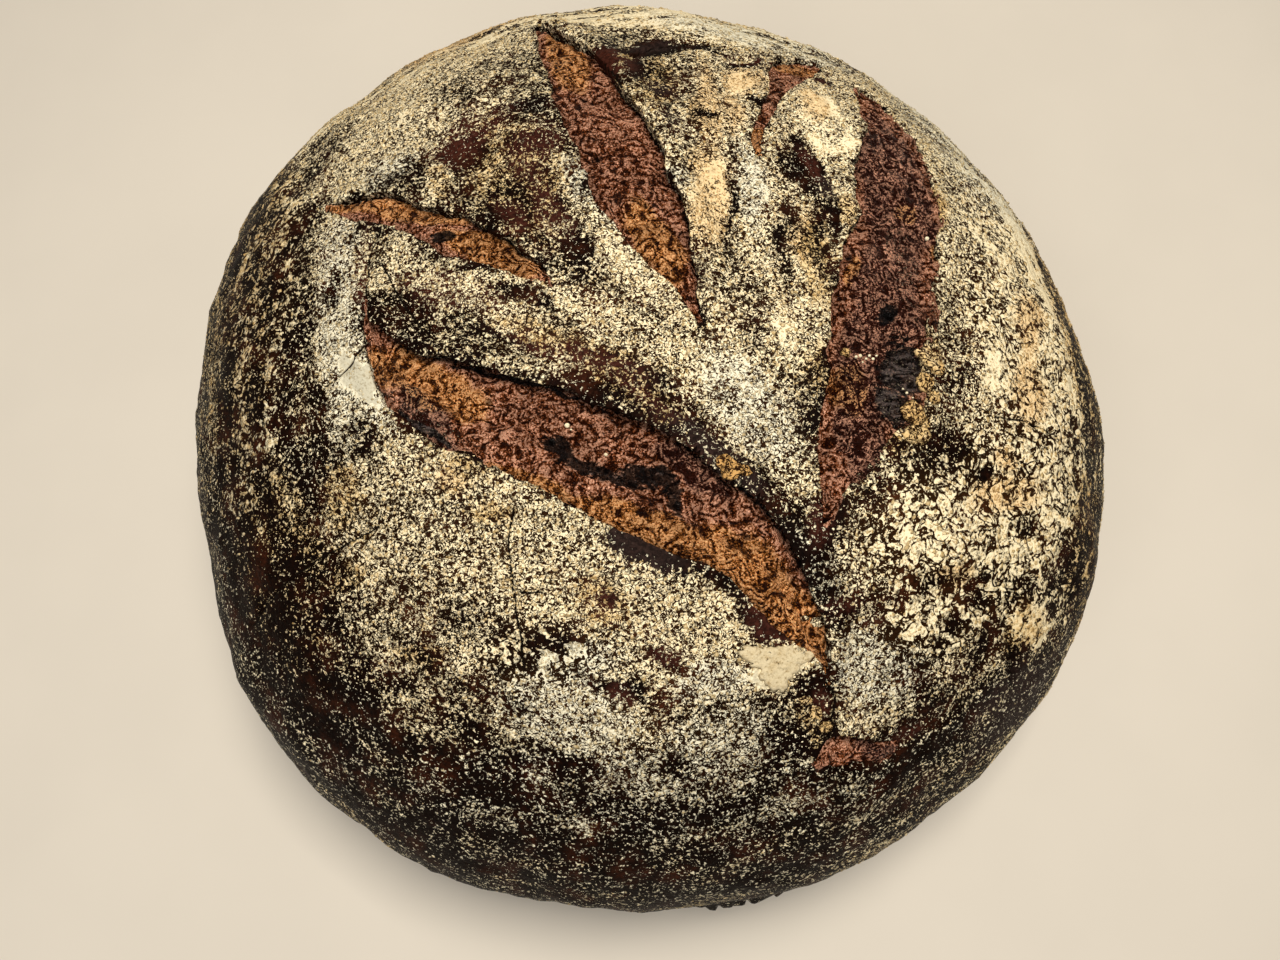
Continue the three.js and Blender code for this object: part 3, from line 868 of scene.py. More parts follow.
# The crust's relief grows from none at the foot to all of it this high up, and its swells above the belly.
FULL_RELIEF = 12.0
FULL_SWELL = 20.0
# Creases in the crust that are sharper than this stay sharp when it is shaded.
SHARP_ANGLE = math.radians(62.0)


def roughened(points, outward, lump_height):
    """The crust with its slow swell, its lumps and a torn bit low at the front."""
    x, y, z = points.T
    raised = lump_height * rough(points, 13.0, 11, 5) + 0.35 * lump_height * lumps(points, 2.2, 17)
    raised += swell(x, y) * smooth((z - BELLY_HEIGHT) / FULL_SWELL)
    torn = patch_weight(x, z, TORN_PLACE) * (y < 0.0)
    raised += TORN_HEIGHT * torn * np.clip(0.4 + 1.6 * lumps(points, 3.4, 19), 0.0, 1.0)
    return points + outward * (raised * smooth(z / FULL_RELIEF))[:, None]


def grid_border(side):
    """The points round the border of a square grid, in order."""
    up, down = np.arange(side - 1), np.arange(side - 1, 0, -1)
    return np.concatenate((up * side, (side - 1) * side + up, down * side + side - 1, down)).tolist()


def make_crust(settings, score_lines):
    """The whole crust: a closed skin over the loaf, open at the scores, flat at the foot."""
    grid, outward = smooth_loaf(settings.rings)
    smooth_points, outward = grid.reshape(-1, 3), outward.reshape(-1, 3)
    points = roughened(smooth_points, outward, settings.lump_height / MM)
    crack = cut_cracks(points, outward, settings.crack_depth / MM)
    past_edge = open_scores(points, outward, score_lines)
    attributes = crust_attributes(smooth_points, past_edge, crack)
    caked = smooth((attributes["flour"] - 0.5) / 0.5)
    points += outward * (settings.flour_thickness / MM * caked)[:, None]
    border = grid_border(len(grid))
    points[border, 2] = 0.0
    middle = len(points)
    faces = grid_faces(len(grid), len(grid)).tolist()
    faces += [(middle, after, before) for before, after in zip(border, border[1:] + border[:1])]
    at_middle = {"crack": NO_CRACK, "foot": 1.0}
    values = {label: np.append(given, at_middle.get(label, 0.0)) for label, given in attributes.items()}
    crust = mesh_object("crust", np.vstack((points, (0.0, 0.0, 0.0))), faces, values)
    crust.data.set_sharp_from_angle(angle=SHARP_ANGLE)
    return crust


# How far the dough reaches in under the crust, how far its hidden border sinks, and how thick it is.
DOUGH_MARGIN = 1.8
BORDER_DROP = 1.2
DOUGH_THICKNESS = 4.0
LEAST_ROWS = 12
LEAST_COLUMNS = 8


def dough_rise(points, place, opened, line):
    """How far the dough lies above the smooth dome, or below it, without its wrinkles."""
    wander = 0.16 * lumps(points, 5.0, line.seed + 50)
    rise = np.interp(place + wander, line.floor[:, 0], line.floor[:, 1])
    rise = rise - BORDER_DROP * smooth((np.abs(place) - 1.05) / 0.35)
    bulge = 0.75 * rough(points, 7.0, line.seed + 60, 3) + 0.35 * rough(points, 2.8, line.seed + 64, 2)
    return rise * opened + bulge


def pore_depth(x, y):
    """How deep the open pores are at each place."""
    total = np.zeros(len(x))
    for pore_x, pore_y, radius, depth in PORES:
        total += depth * fade(np.hypot(x - pore_x, y - pore_y), 1.5 * radius)
    return total


def make_dough(line, settings):
    """The burst dough of one score, as a closed sheet that reaches in under the crust's edges."""
    spacing = settings.spacing / MM
    rows = max(int(line.length / spacing), LEAST_ROWS)
    columns = max(int(2.0 * (line.half_width.max() + DOUGH_MARGIN) / spacing), LEAST_COLUMNS)
    given = np.column_stack((line.places, line.left(), line.half_width))
    picks = np.linspace(0, SCORE_SAMPLES - 1, rows)
    picked = np.stack([np.interp(picks, np.arange(SCORE_SAMPLES), values) for values in given.T], axis=1)
    spine, left, half = picked[:, :2], picked[:, 2:4], picked[:, 4]
    across = np.linspace(-1.0, 1.0, columns)
    reach = (half + DOUGH_MARGIN * np.minimum(half / 2.0, 1.0))[:, None] * across[None, :]
    plan = spine[:, None, :] + left[:, None, :] * reach[..., None]
    x, y = plan[..., 0].ravel(), plan[..., 1].ravel()
    place = (reach / np.maximum(half, LEAST_HALF_WIDTH)[:, None]).ravel()
    points = np.stack((x, y, dome_height_at(x, y)), axis=1)
    opened = np.repeat(np.minimum(half / 3.0, 1.0), columns)
    strands = wrinkles(points, line.seed)
    rise = dough_rise(points, place, opened, line) + settings.wrinkle_height / MM * strands
    open_pores = pore_depth(x, y)
    upper = points.copy()
    upper[:, 2] += swell(x, y) + rise - open_pores
    attributes = dough_attributes(upper, place, line)
    attributes["strand"] = strands
    # painted shade in the open pores, which the dough's material darkens by this
    attributes["pore_shade"] = np.minimum(open_pores, 1.0)
    return close_sheet(f"score_dough_{line.name}", upper, rows, columns, attributes)


# The noise of the wrinkles is turned, so that its lattice doesn't show in them.
COIL_TURN = np.array(Euler((0.9, 0.5, 0.6)).to_matrix())
CROSSING_TURN = np.array(Euler((0.4, 1.0, 2.1)).to_matrix())


def wrinkles(points, seed):
    """Curled strands of stretched dough with sharp creases between them, from 0 in a crease to 1."""
    warp = np.stack([lumps(points, 2.4, seed + 70 + axis) for axis in range(3)], axis=1)
    moved = points + 1.7 * warp
    coiled = np.abs(np.sin(math.pi * 2.3 * lumps(moved @ COIL_TURN, 4.0, seed + 80)))
    crossing = np.abs(np.sin(math.pi * 1.9 * lumps(moved @ CROSSING_TURN, 2.6, seed + 81)))
    bundle = smooth(0.5 + 1.6 * lumps(points, 3.2, seed + 82))
    return coiled + (crossing - coiled) * bundle


def dough_attributes(points, place, line):
    """The dough's tints, and the painted shade that darkens it near the crust's edges, most where the lips
    overhang it.
    """
    x, y = warped(points, DOUGH_WARP, 46)
    overhung = smooth(by_side(place, line.overhang) / 0.8)
    values = {label: patches_share(x, y, patches) for label, patches in DOUGH_TINTS.items()}
    # painted shade: the dough near the edges is darkened as if in the shadow of the crust's lips
    values["lip_shade"] = smooth((np.abs(place) - 0.80) / 0.2) * (0.45 + 0.55 * overhung)
    return values


def close_sheet(name, upper, rows, columns, attributes):
    """Closes a grid sheet with a plain underside that shares its border."""
    count = len(upper)
    right = np.arange(rows) * columns
    left = right + columns - 1
    lower = np.concatenate((upper[right], upper[left]))
    lower[:, 2] -= DOUGH_THICKNESS
    points = np.vstack((upper, lower))
    round_it = np.stack((right, left, count + rows + np.arange(rows), count + np.arange(rows))).tolist()
    right_line, left_line, low_left, low_right = round_it
    faces = grid_faces(rows, columns).tolist()
    for i in range(rows - 1):
        for near, far in ((right_line, low_right), (low_right, low_left), (low_left, left_line)):
            faces.append((far[i], far[i + 1], near[i + 1], near[i]))
    faces.append((*range(columns), low_left[0], low_right[0]))
    faces.append((*reversed(range(count - columns, count)), low_right[-1], low_left[-1]))
    whole = np.concatenate((np.arange(count), right, left))
    values = {label: given[whole] for label, given in attributes.items()}
    return mesh_object(name, points, faces, values)


# ---------------------------------------------------------------- nodes


class Value:
    """What nodes work out at each point: a number, a colour or a place. Sums on it are written as sums."""

    def __init__(self, socket):
        self.socket = socket
        self.tree = socket.id_data

    def __add__(self, other):
        return worked("ADD", self, other)

    def __sub__(self, other):
        return worked("SUBTRACT", self, other)

    def __rsub__(self, other):
        return worked("SUBTRACT", other, self)

    def __mul__(self, other):
        return worked("MULTIPLY", self, other)

    def __abs__(self):
        return worked("ABSOLUTE", self)


def feed(made, inputs):
    """Gives a node's sockets, by name or number, plain values or what other nodes work out."""
    for label, value in inputs.items():
        socket = made.inputs[label]
        if isinstance(value, Value):
            value.tree.links.new(value.socket, socket)
        elif socket.type == "RGBA":
            socket.default_value = (*value, 1.0)
        else:
            socket.default_value = value


def node(tree, kind, inputs=None, **settings):
    """A new node."""
    made = tree.nodes.new(kind)
    for label, setting in settings.items():
        setattr(made, label, setting)
    feed(made, inputs or {})
    return made


def result(tree, kind, inputs=None, output=0, **settings):
    """What a new node works out."""
    return Value(node(tree, kind, inputs, **settings).outputs[output])


def worked(operation, first, second=0.0):
    """One sum on numbers, at least one of them worked out by nodes."""
    tree = first.tree if isinstance(first, Value) else second.tree
    return result(tree, "ShaderNodeMath", {0: first, 1: second}, operation=operation)


def larger(first, second):
    """The larger of two numbers."""
    return worked("MAXIMUM", first, second)


def vectors(operation, first, second):
    """One sum on two vectors, or on a vector and a number for a scaling."""
    place = "Scale" if operation == "SCALE" else 1
    return result(first.tree, "ShaderNodeVectorMath", {0: first, place: second}, operation=operation)


def scaled(colour, amount):
    """A colour made lighter or darker."""
    return vectors("SCALE", colour, amount)


def ramp(value, low, high, to_low=0.0, to_high=1.0, easing="SMOOTHSTEP"):
    """A number eased from one range to another."""
    ends = {"Value": value, "From Min": low, "From Max": high, "To Min": to_low, "To Max": to_high}
    return result(value.tree, "ShaderNodeMapRange", ends, interpolation_type=easing)


def noise(place, size, detail=3.0, roughness=0.55, distortion=0.0):
    """Noise whose lumps are about size millimetres across."""
    given = {
        "Vector": place,
        "Scale": 1.0 / size,
        "Detail": detail,
        "Roughness": roughness,
        "Distortion": distortion,
    }
    return result(place.tree, "ShaderNodeTexNoise", given, "Fac")


def mix_colours(share, first, second):
    """A mix of two colours: the first where the share is 0, the second where it is 1."""
    return result(share.tree, "ShaderNodeMix", {0: share, 6: first, 7: second}, 2, data_type="RGBA")


def mix_values(share, first, second):
    """A mix of two numbers, in the same way."""
    return result(share.tree, "ShaderNodeMix", {0: share, 2: first, 3: second}, data_type="FLOAT")


def flour_cover(place, share, flaked, grain):
    """How far the flour stands proud at a place: above 0 where it lies, below 0 in its gaps."""
    # The grains themselves, finer where the flour is thin and wider where it is flaked.
    thin = noise(place, 1.3 * grain, 3.0, 0.50, 0.35)
    thick = noise(place, 1.35 * grain, 3.0, 0.56, 0.7)
    wide = noise(place, 2.2 * grain, 3.5, 0.60, 1.0)
    grains = mix_values(flaked * 0.6, mix_values(ramp(share, 0.35, 0.75), thin, thick), wide)
    # The level that the grains have to reach falls as the share that they cover rises.
    drifts = ramp(noise(place, 5.0 * grain, 2.0), 0.2, 0.8, -1.0, 1.0) * ramp(share, 0.30, 0.75, 0.05, 0.09)
    level = ramp(share, 0.0, 1.0, 0.675, 0.325, "LINEAR") - ramp(share, 0.55, 0.88, 0.0, 0.02)
    # Winding clefts part the flour, except where it is caked.
    near_lines = noise(place, 1.6 * grain, 1.5, 0.5, 0.9)
    far_lines = noise(place, 5.0 * grain, 2.0, 0.6, 0.6)
    cleft = ramp(abs(mix_values(flaked, near_lines, far_lines) - 0.5), 0.026, 0.070, 0.42, 0.0)
    cleft = cleft * ramp(share, 0.86, 1.0, 1.0, 0.0) * ramp(flaked, 0.0, 1.0, 1.0, 0.48)
    caked = ramp(share, 0.93, 1.0, 0.0, 0.25)
    bare = ramp(share, 0.02, 0.10, -0.3, 0.0)
    return grains + drifts - level - cleft + caked + bare


# ---------------------------------------------------------------- loose grains

# Each kind of grain: its width and spacing, how flat it is, how proud the flour stands where it lies, and
# how many at most.
GRAIN_KINDS = {
    "cream": {"width": 0.62, "spacing": 0.56, "flatness": 0.36, "lowest": 0.030, "most": 19500},
    "cool": {"width": 0.60, "spacing": 0.56, "flatness": 0.36, "lowest": 0.030, "most": 14000},
    "warm": {"width": 0.60, "spacing": 0.56, "flatness": 0.36, "lowest": 0.030, "most": 14000},
    "coarse": {"width": 1.00, "spacing": 0.98, "flatness": 0.22, "lowest": 0.075, "most": 11000},
    "flaked": {"width": 1.15, "spacing": 1.02, "flatness": 0.20, "lowest": 0.060, "most": 7500},
}
# A grain's ragged outline and the waves in each millimetre of it, its sides, how far it tilts, and how it
# is stretched at the least and the most.
GRAIN_RAGGED = 0.42
GRAIN_WAVES = 2.6
GRAIN_SIDES = 5
GRAIN_TILT = 0.35
GRAIN_LEAST = (0.55, 0.6, 0.7)
GRAIN_MOST = (1.35, 1.1, 1.2)
# Grains tried for each square of the spacing, before the ones that lie too close are left out.
GRAIN_DENSITY = 1.6


def grain_shares(mesh):
    """How thickly each kind of grain lies at each point of the crust, from 0 to 1."""
    held = {}
    for label in ("flour", "peach", "cool", "toasted", "flaked"):
        values = np.zeros(len(mesh.vertices), np.float32)
        mesh.attributes[label].data.foreach_get("value", values)
        held[label] = values
    lies = np.clip((held["flour"] - 0.05) / 0.45, 0.0, 1.0)
    smooth_cake = np.clip((held["flour"] - 0.90) / 0.08, 0.0, 1.0)
    lies = lies * (1.0 - 0.9 * smooth_cake)
    warm = np.maximum(held["peach"], held["toasted"])
    return {
        "cream": lies * (1.0 - 0.9 * warm) * (1.0 - 0.9 * held["cool"]) * (1.0 - 0.7 * held["flaked"]),
        "cool": lies * held["cool"] * (1.0 - 0.9 * warm),
        "warm": lies * warm,
        "coarse": lies * (1.0 - held["flaked"]) * np.clip((held["flour"] - 0.3) / 0.4, 0.0, 1.0),
        "flaked": lies * held["flaked"],
    }


def stored_value(tree, name):
    """A value stored on the mesh, for geometry nodes."""
    return result(tree, "GeometryNodeInputNamedAttribute", {"Name": name}, data_type="FLOAT")


def random_vector(tree, lowest, highest, seed):
    """A random vector for each point."""
    given = {0: lowest, 1: highest, "Seed": seed}
    return result(tree, "FunctionNodeRandomValue", given, data_type="FLOAT_VECTOR")


def open_tree(name):
    """An empty tree of geometry nodes with the scatter's named inputs, and the values of those inputs."""
    tree = bpy.data.node_groups.new(name, "GeometryNodeTree")
    tree.interface.new_socket("Geometry", in_out="INPUT", socket_type="NodeSocketGeometry")
    for label in ("Width", "Spacing", "Flatness", "Density", "Lowest"):
        tree.interface.new_socket(label, in_out="INPUT", socket_type="NodeSocketFloat")
    tree.interface.new_socket("Seed", in_out="INPUT", socket_type="NodeSocketInt")
    tree.interface.new_socket("Geometry", in_out="OUTPUT", socket_type="NodeSocketGeometry")
    return tree, {socket.name: Value(socket) for socket in node(tree, "NodeGroupInput").outputs}


def spread_points(tree, given):
    """Points spread over the surface, each with its own lightness, and the surface's normal at each."""
    spread = node(
        tree,
        "GeometryNodeDistributePointsOnFaces",
        {
            "Mesh": given["Geometry"],
            "Distance Min": given["Spacing"],
            "Density Max": given["Density"],
            "Density Factor": stored_value(tree, "grain_share"),
            "Seed": given["Seed"],
        },
        distribute_method="POISSON",
    )
    lightness = result(tree, "FunctionNodeRandomValue", {"Seed": 3}, 1, data_type="FLOAT")
    stored = {"Geometry": Value(spread.outputs["Points"]), "Name": "tone", "Value": lightness}
    points = result(tree, "GeometryNodeStoreNamedAttribute", stored, data_type="FLOAT")
    return points, Value(spread.outputs["Normal"])


def scatter_tree(material, grain):
    """Nodes that scatter flat ragged grains over a surface, wherever its flour stands proud enough."""
    tree, given = open_tree("scatter_grains")
    points, normal = spread_points(tree, given)
    upright = result(tree, "FunctionNodeAlignRotationToVector", {"Vector": normal}, axis="Z")
    turn = random_vector(tree, (-GRAIN_TILT, -GRAIN_TILT, 0.0), (GRAIN_TILT, GRAIN_TILT, math.tau), 5)
    spun = result(tree, "FunctionNodeRotateRotation", {0: upright, 1: turn}, rotation_space="LOCAL")
    place = vectors("SCALE", result(tree, "GeometryNodeInputPosition"), 1.0 / MM)
    proud = flour_cover(place, stored_value(tree, "flour"), stored_value(tree, "flaked"), grain)
    above = proud - given["Lowest"]
    stretch = random_vector(tree, GRAIN_LEAST, GRAIN_MOST, 7)
    flat = result(tree, "ShaderNodeCombineXYZ", {"X": 1.0, "Y": 1.0, "Z": given["Flatness"]})
    size = vectors("SCALE", vectors("MULTIPLY", stretch, flat), ramp(above, 0.0, 0.10, 0.65, 1.15))
    sphere = {"Segments": GRAIN_SIDES, "Rings": 2, "Radius": given["Width"] * 0.5}
    laid = {
        "Points": points,
        "Selection": worked("GREATER_THAN", above, 0.0),
        "Instance": result(tree, "GeometryNodeMeshUVSphere", sphere),
        "Rotation": spun,
        "Scale": size,
    }
    grains = result(tree, "GeometryNodeInstanceOnPoints", laid)
    real = result(tree, "GeometryNodeRealizeInstances", {0: grains})
    waves = {"Vector": place, "Scale": GRAIN_WAVES, "Detail": 0.0}
    wander = result(tree, "ShaderNodeTexNoise", waves, "Color")
    wander = vectors("SUBTRACT", wander, (0.5, 0.5, 0.5))
    push = vectors("SCALE", wander, given["Width"] * (2.0 * GRAIN_RAGGED))
    moved = result(tree, "GeometryNodeSetPosition", {0: real, "Offset": push})
    rounded = result(tree, "GeometryNodeSetShadeSmooth", {0: moved})
    finished = result(tree, "GeometryNodeSetMaterial", {0: rounded, "Material": material})
    node(tree, "NodeGroupOutput", {0: finished})
    return tree


def lay_grains(kind, share, surface, tree, seed, most):
    """One kind of grain over the crust, as a plain mesh."""
    facts = GRAIN_KINDS[kind]
    mesh = surface.copy()
    layer = mesh.attributes.new("grain_share", "FLOAT", "POINT")
    layer.data.foreach_set("value", share.astype(np.float32))
    piece = bpy.data.objects.new(f"flour_{kind}", mesh)
    bpy.context.scene.collection.objects.link(piece)
    modifier = piece.modifiers.new("Scatter", "NODES")
    modifier.node_group = tree
    width, spacing = facts["width"] * MM, facts["spacing"] * MM
    given = {
        "Width": width,
        "Spacing": spacing,
        "Flatness": facts["flatness"],
        "Lowest": facts["lowest"],
        "Density": GRAIN_DENSITY / spacing**2,
        "Seed": seed,
    }
    for item in tree.interface.items_tree:
        if item.in_out == "INPUT" and item.name in given:
            modifier[item.identifier] = given[item.name]
    shown = piece.evaluated_get(bpy.context.evaluated_depsgraph_get())
    grains = bpy.data.meshes.new_from_object(shown)
    piece.modifiers.clear()
    piece.data = thin_out(grains, most, seed)
    piece.data.name = piece.name
    bpy.data.meshes.remove(mesh)
    return piece


def thin_out(mesh, most, seed):
    """Leaves out whole grains at random until no more than the most are left."""
    points_each = GRAIN_SIDES + 2
    count = len(mesh.vertices) // points_each
    if count <= most:
        return mesh
    gone = np.random.default_rng(seed).permutation(count)[most:]
    work = bmesh.new()
    work.from_mesh(mesh)
    work.verts.ensure_lookup_table()
    doomed = [work.verts[int(g) * points_each + k] for g in gone for k in range(points_each)]
    bmesh.ops.delete(work, geom=doomed, context="VERTS")
    work.to_mesh(mesh)
    work.free()
    return mesh


# ---------------------------------------------------------------- cakes of flour

# How each kind of cake is made: the spokes and rings of its mesh, how lumpy its top is, and its first seed.
CAKE_KINDS = {
    "cake": {"spokes": 84, "rings": 14, "lumpy": 0.16, "seed": 0},
    "lump": {"spokes": 30, "rings": 6, "lumpy": 0.45, "seed": 500},
    "crumb": {"spokes": 9, "rings": 3, "lumpy": 0.3, "seed": 900},
}
CAKE_SEED_STEP = 10
# How ragged a cake's outline is, the size of its bumps, and how far its edge and its underside sink in.
CAKE_RAGGED = 0.16
CAKE_BUMPS = 1.1
EDGE_SINK = 0.1
CAKE_SINK = 0.5
# A cake rests at this percentile of the surface's height under about this many of its points.
REST_PROBES = 40
REST_PERCENTILE = 75


def oval(x, y, across, up):
    """An oval outline."""
    steps = [math.tau * i / 12 for i in range(12)]
    return [(x + across * math.cos(step), y + up * math.sin(step)) for step in steps]


def spokes_of(outline, spokes, seed):
    """An outline made ragged: its middle, and the turn and length of each spoke."""
    corners = np.array(outline, dtype=float)
    centre = corners.mean(axis=0)
    angles = np.arctan2(corners[:, 1] - centre[1], corners[:, 0] - centre[0])
    order = np.argsort(angles)
    lengths = np.hypot(*(corners - centre).T)
    turn = np.linspace(-math.pi, math.pi, spokes, endpoint=False)
    length = np.interp(turn, angles[order], lengths[order], period=math.tau)
    ends = (centre[0] + length * np.cos(turn), centre[1] + length * np.sin(turn), np.zeros(spokes))
    return centre, turn, length * (1.0 + CAKE_RAGGED * rough(np.stack(ends, axis=1), CAKE_BUMPS, seed, 3))


class CakeMesh:
    """Closed cakes of flour, set down one after another on a surface, as one mesh."""

    def __init__(self, surface, seed):
        self.surface = surface
        self.seed = seed
        self.points = []
        self.faces = []
        self.values = {label: [] for label in ("flour", "peach", "cool", "toasted", "crack")}

    def lift(self, plan):
        """How far the surface stands above the smooth dome under a cake."""
        lifts = []
        for x, y in plan[:: max(len(plan) // REST_PROBES, 1), :2]:
            start = Vector(((x + DOME_AXIS[0]) * MM, (y + DOME_AXIS[1]) * MM, 1.0))
            hit = self.surface.ray_cast(start, Vector((0.0, 0.0, -1.0)))[0]
            lifts.append(hit.z / MM - dome_height_at(x, y) - swell(x, y))
        return float(np.percentile(lifts, REST_PERCENTILE))

    def add(self, kind, number, outline, thickness, flour, peach=0.0, cool=0.0, toasted=0.0):
        """Adds one cake, with a rough top and a thin edge."""
        facts = CAKE_KINDS[kind]
        spokes, rings = facts["spokes"], facts["rings"]
        seed = self.seed + facts["seed"] + CAKE_SEED_STEP * number
        centre, turn, length = spokes_of(outline, spokes, seed)
        rows = []
        for share in np.linspace(0.0, 1.0, rings + 1)[1:]:
            x = centre[0] + share * length * np.cos(turn)
            y = centre[1] + share * length * np.sin(turn)
            height = thickness * math.sqrt(max(1.0 - share**6, 0.0))
            rows.append(np.stack((x, y, np.full(spokes, height)), axis=1))
        plan = np.vstack([[(*centre, thickness)], *rows, [(*centre, 0.0)]])
        rest = dome_height_at(plan[:, 0], plan[:, 1]) + swell(plan[:, 0], plan[:, 1])
        lift = self.lift(plan)
        bumps = rough(np.stack((plan[:, 0], plan[:, 1], rest), axis=1), CAKE_BUMPS, seed + 1, 4)
        points = plan.copy()
        points[:, 2] = rest + lift + plan[:, 2] + facts["lumpy"] * thickness * bumps * (plan[:, 2] > 0.0)
        outer = 1 + (rings - 1) * spokes
        points[outer : outer + spokes, 2] = rest[outer : outer + spokes] + lift - EDGE_SINK
        points[-1, 2] = rest[-1] + lift - CAKE_SINK
        self.join(points, spokes, rings)
        values = {"flour": flour, "peach": peach, "cool": cool, "toasted": toasted, "crack": NO_CRACK}
        for label, value in values.items():
            self.values[label].extend([value] * len(points))

    def join(self, points, spokes, rings):
        """Adds a cake's points with the faces of its top, its rings and its underside."""
        first = len(self.points)
        under, outer = first + len(points) - 1, first + 1 + (rings - 1) * spokes
        for i in range(spokes):
            after = (i + 1) % spokes
            self.faces.append((first, first + 1 + i, first + 1 + after))
            for near in range(first + 1, outer, spokes):
                far = near + spokes
                self.faces.append((near + i, far + i, far + after, near + after))
            self.faces.append((under, outer + after, outer + i))
        self.points.extend(points.tolist())

    def piece(self, name):
        """The cakes as one piece."""
        values = {label: np.array(given, np.float32) for label, given in self.values.items()}
        return mesh_object(name, np.array(self.points), self.faces, values)


def surface_of(pieces):
    """The pieces' surfaces together, to set things down on."""
    points, faces = [], []
    for piece in pieces:
        first = len(points)
        points.extend([vertex.co.copy() for vertex in piece.data.vertices])
        faces.extend([tuple(first + corner for corner in face.vertices) for face in piece.data.polygons])
    return BVHTree.FromPolygons(points, faces)


def make_cakes(surface, seed):
    """The large cakes and the round lumps of flour at the scores' edges."""
    held = CakeMesh(surface, seed)
    for i, (outline, thickness, toasted, peach) in enumerate(CAKES):
        held.add("cake", i, outline, thickness, 1.0 - 0.12 * toasted, peach, toasted=toasted)
    for i, (x, y, across, up, thickness, toasted, peach) in enumerate(LUMPS):
        held.add("lump", i, oval(x, y, across, up), thickness, 0.80, peach, toasted=toasted)
    return held.piece("flour_cakes")


def make_crumbs(surface, seed):
    """White crumbs on the dough."""
    held = CakeMesh(surface, seed)
    for i, (x, y, radius) in enumerate(CRUMBS):
        held.add("crumb", i, oval(x, y, radius, 0.8 * radius), 0.9 * radius, 1.0, cool=0.3)
    return held.piece("flour_crumbs")


# ---------------------------------------------------------------- materials

# How flour's colour falls off in its shaded hollows, on the crust and on loose grains.
FLOUR_SHADE = (0.36, 0.26, 0.12)
GRAIN_SHADE = (0.52, 0.42, 0.27)
# How it falls off where it is toasted the most.
BROWNEST = (0.80, 0.62, 0.44)
# How light the flour on the crust is by the share that it covers: (from, to, lightness there and there).
# Where the flour is thin it is painted lighter, a painted light that makes up for the dimmer light on the
# loaf's sides.
FLOUR_LIGHTNESS = ((0.96, 0.97, 0.95, 0.66), (0.98, 1.0, 1.0, 1.40), (0.0, 0.55, 1.40, 1.06))
# Painted shade: the near-black that fills the hairline cracks.
CRACK_SHADE = (0.004, 0.002, 0.001)
SPECK_COLOUR = (0.62, 0.50, 0.33)
# The way that the burnt fibres run in the furrow of the front score, and how far they are drawn out.
CHAR_TURN = math.radians(24.0)
CHAR_STRETCH = (0.30, 1.0, 1.0)


def new_material(name):
    """An empty material: itself, its shader, and the places on the surface in millimetres."""
    material = bpy.data.materials.new(name)
    material.use_nodes = True
    tree = material.node_tree
    tree.nodes.clear()
    shader = node(tree, "ShaderNodeBsdfPrincipled")
    node(tree, "ShaderNodeOutputMaterial", {"Surface": Value(shader.outputs["BSDF"])})
    own = result(tree, "ShaderNodeTexCoord", output="Object")
    return material, shader, result(tree, "ShaderNodeMapping", {"Vector": own, "Scale": (1.0 / MM,) * 3})


def readings(place, *names):
    """Values stored on the mesh, in the order of their names."""
    kind = {"output": "Fac", "attribute_type": "GEOMETRY"}
    return [result(place.tree, "ShaderNodeAttribute", attribute_name=name, **kind) for name in names]


def shaded(colour, light, shade):
    """A colour that runs from its shaded tint to itself."""
    return vectors("MULTIPLY", colour, mix_colours(light, shade, (1.0, 1.0, 1.0)))


def relief(shader, height, distance, strength=1.0):
    """Fine relief on a shader."""
    given = {"Height": height, "Distance": distance * MM, "Strength": strength}
    feed(shader, {"Normal": result(height.tree, "ShaderNodeBump", given, "Normal")})


def flour_colour(place, settings):
    """The colour of flour, warm in some places and cool in others."""
    share, peach, cool, toasted = readings(place, "flour", "peach", "cool", "toasted")
    colour = mix_colours(peach, settings.cream, settings.peach)
    raw = larger(cool * 0.8, ramp(share, 0.08, 0.45, 0.8, 0.0))
    colour = mix_colours(raw, colour, settings.cool)
    patchy = toasted * 0.36 + noise(place, 1.8, 4.0, 0.6)
    colour = mix_colours(ramp(patchy, 0.52, 1.05, 0.0, 0.8), colour, settings.toasted)
    return shaded(colour, ramp(toasted, 1.0, 1.8, 1.0, 0.0), BROWNEST)


def powder_colour(place, share, proud, settings):
    """The colour of the flour on the crust, with painted shade in its hollows and painted light where it is
    thin.
    """
    lit = noise(place, 0.6, 3.0, 0.6) + ramp(proud, 0.0, 0.12, -0.06, 0.05)
    # painted light: thin flour is kept clear of the painted shade
    lit = lit + ramp(share, 0.12, 0.45, 0.22, 0.0)
    colour = shaded(flour_colour(place, settings), ramp(lit, 0.20, 0.60), FLOUR_SHADE)
    for low, high, at_low, at_high in FLOUR_LIGHTNESS:
        colour = scaled(colour, ramp(share, low, high, at_low, at_high))
    return colour


def baked_colour(place, share, unbroken, settings):
    """The colour of the crust itself, with painted shade in its hairline cracks."""
    ruddy, scorched, foot = readings(place, "ruddy", "scorched", "foot")
    colour = mix_colours(ramp(noise(place, 9.0, 5.0, 0.6), 0.46, 0.76), settings.dark, settings.brown)
    colour = mix_colours(ruddy * 0.6, colour, settings.ruddy)
    colour = mix_colours(scorched * 0.9, colour, settings.scorched)
    colour = mix_colours(foot, colour, settings.foot)
    colour = scaled(colour, ramp(noise(place, 0.9, 4.0, 0.7), 0.35, 0.7, 0.45, 1.55))
    dusty = ramp(share, 0.45, 0.90, 0.0, 0.36) * noise(place, 0.5, 2.0)
    colour = mix_colours(dusty, colour, settings.dusted)
    # painted shade: the cracks are filled with near-black
    return mix_colours(1.0 - unbroken, colour, CRACK_SHADE)


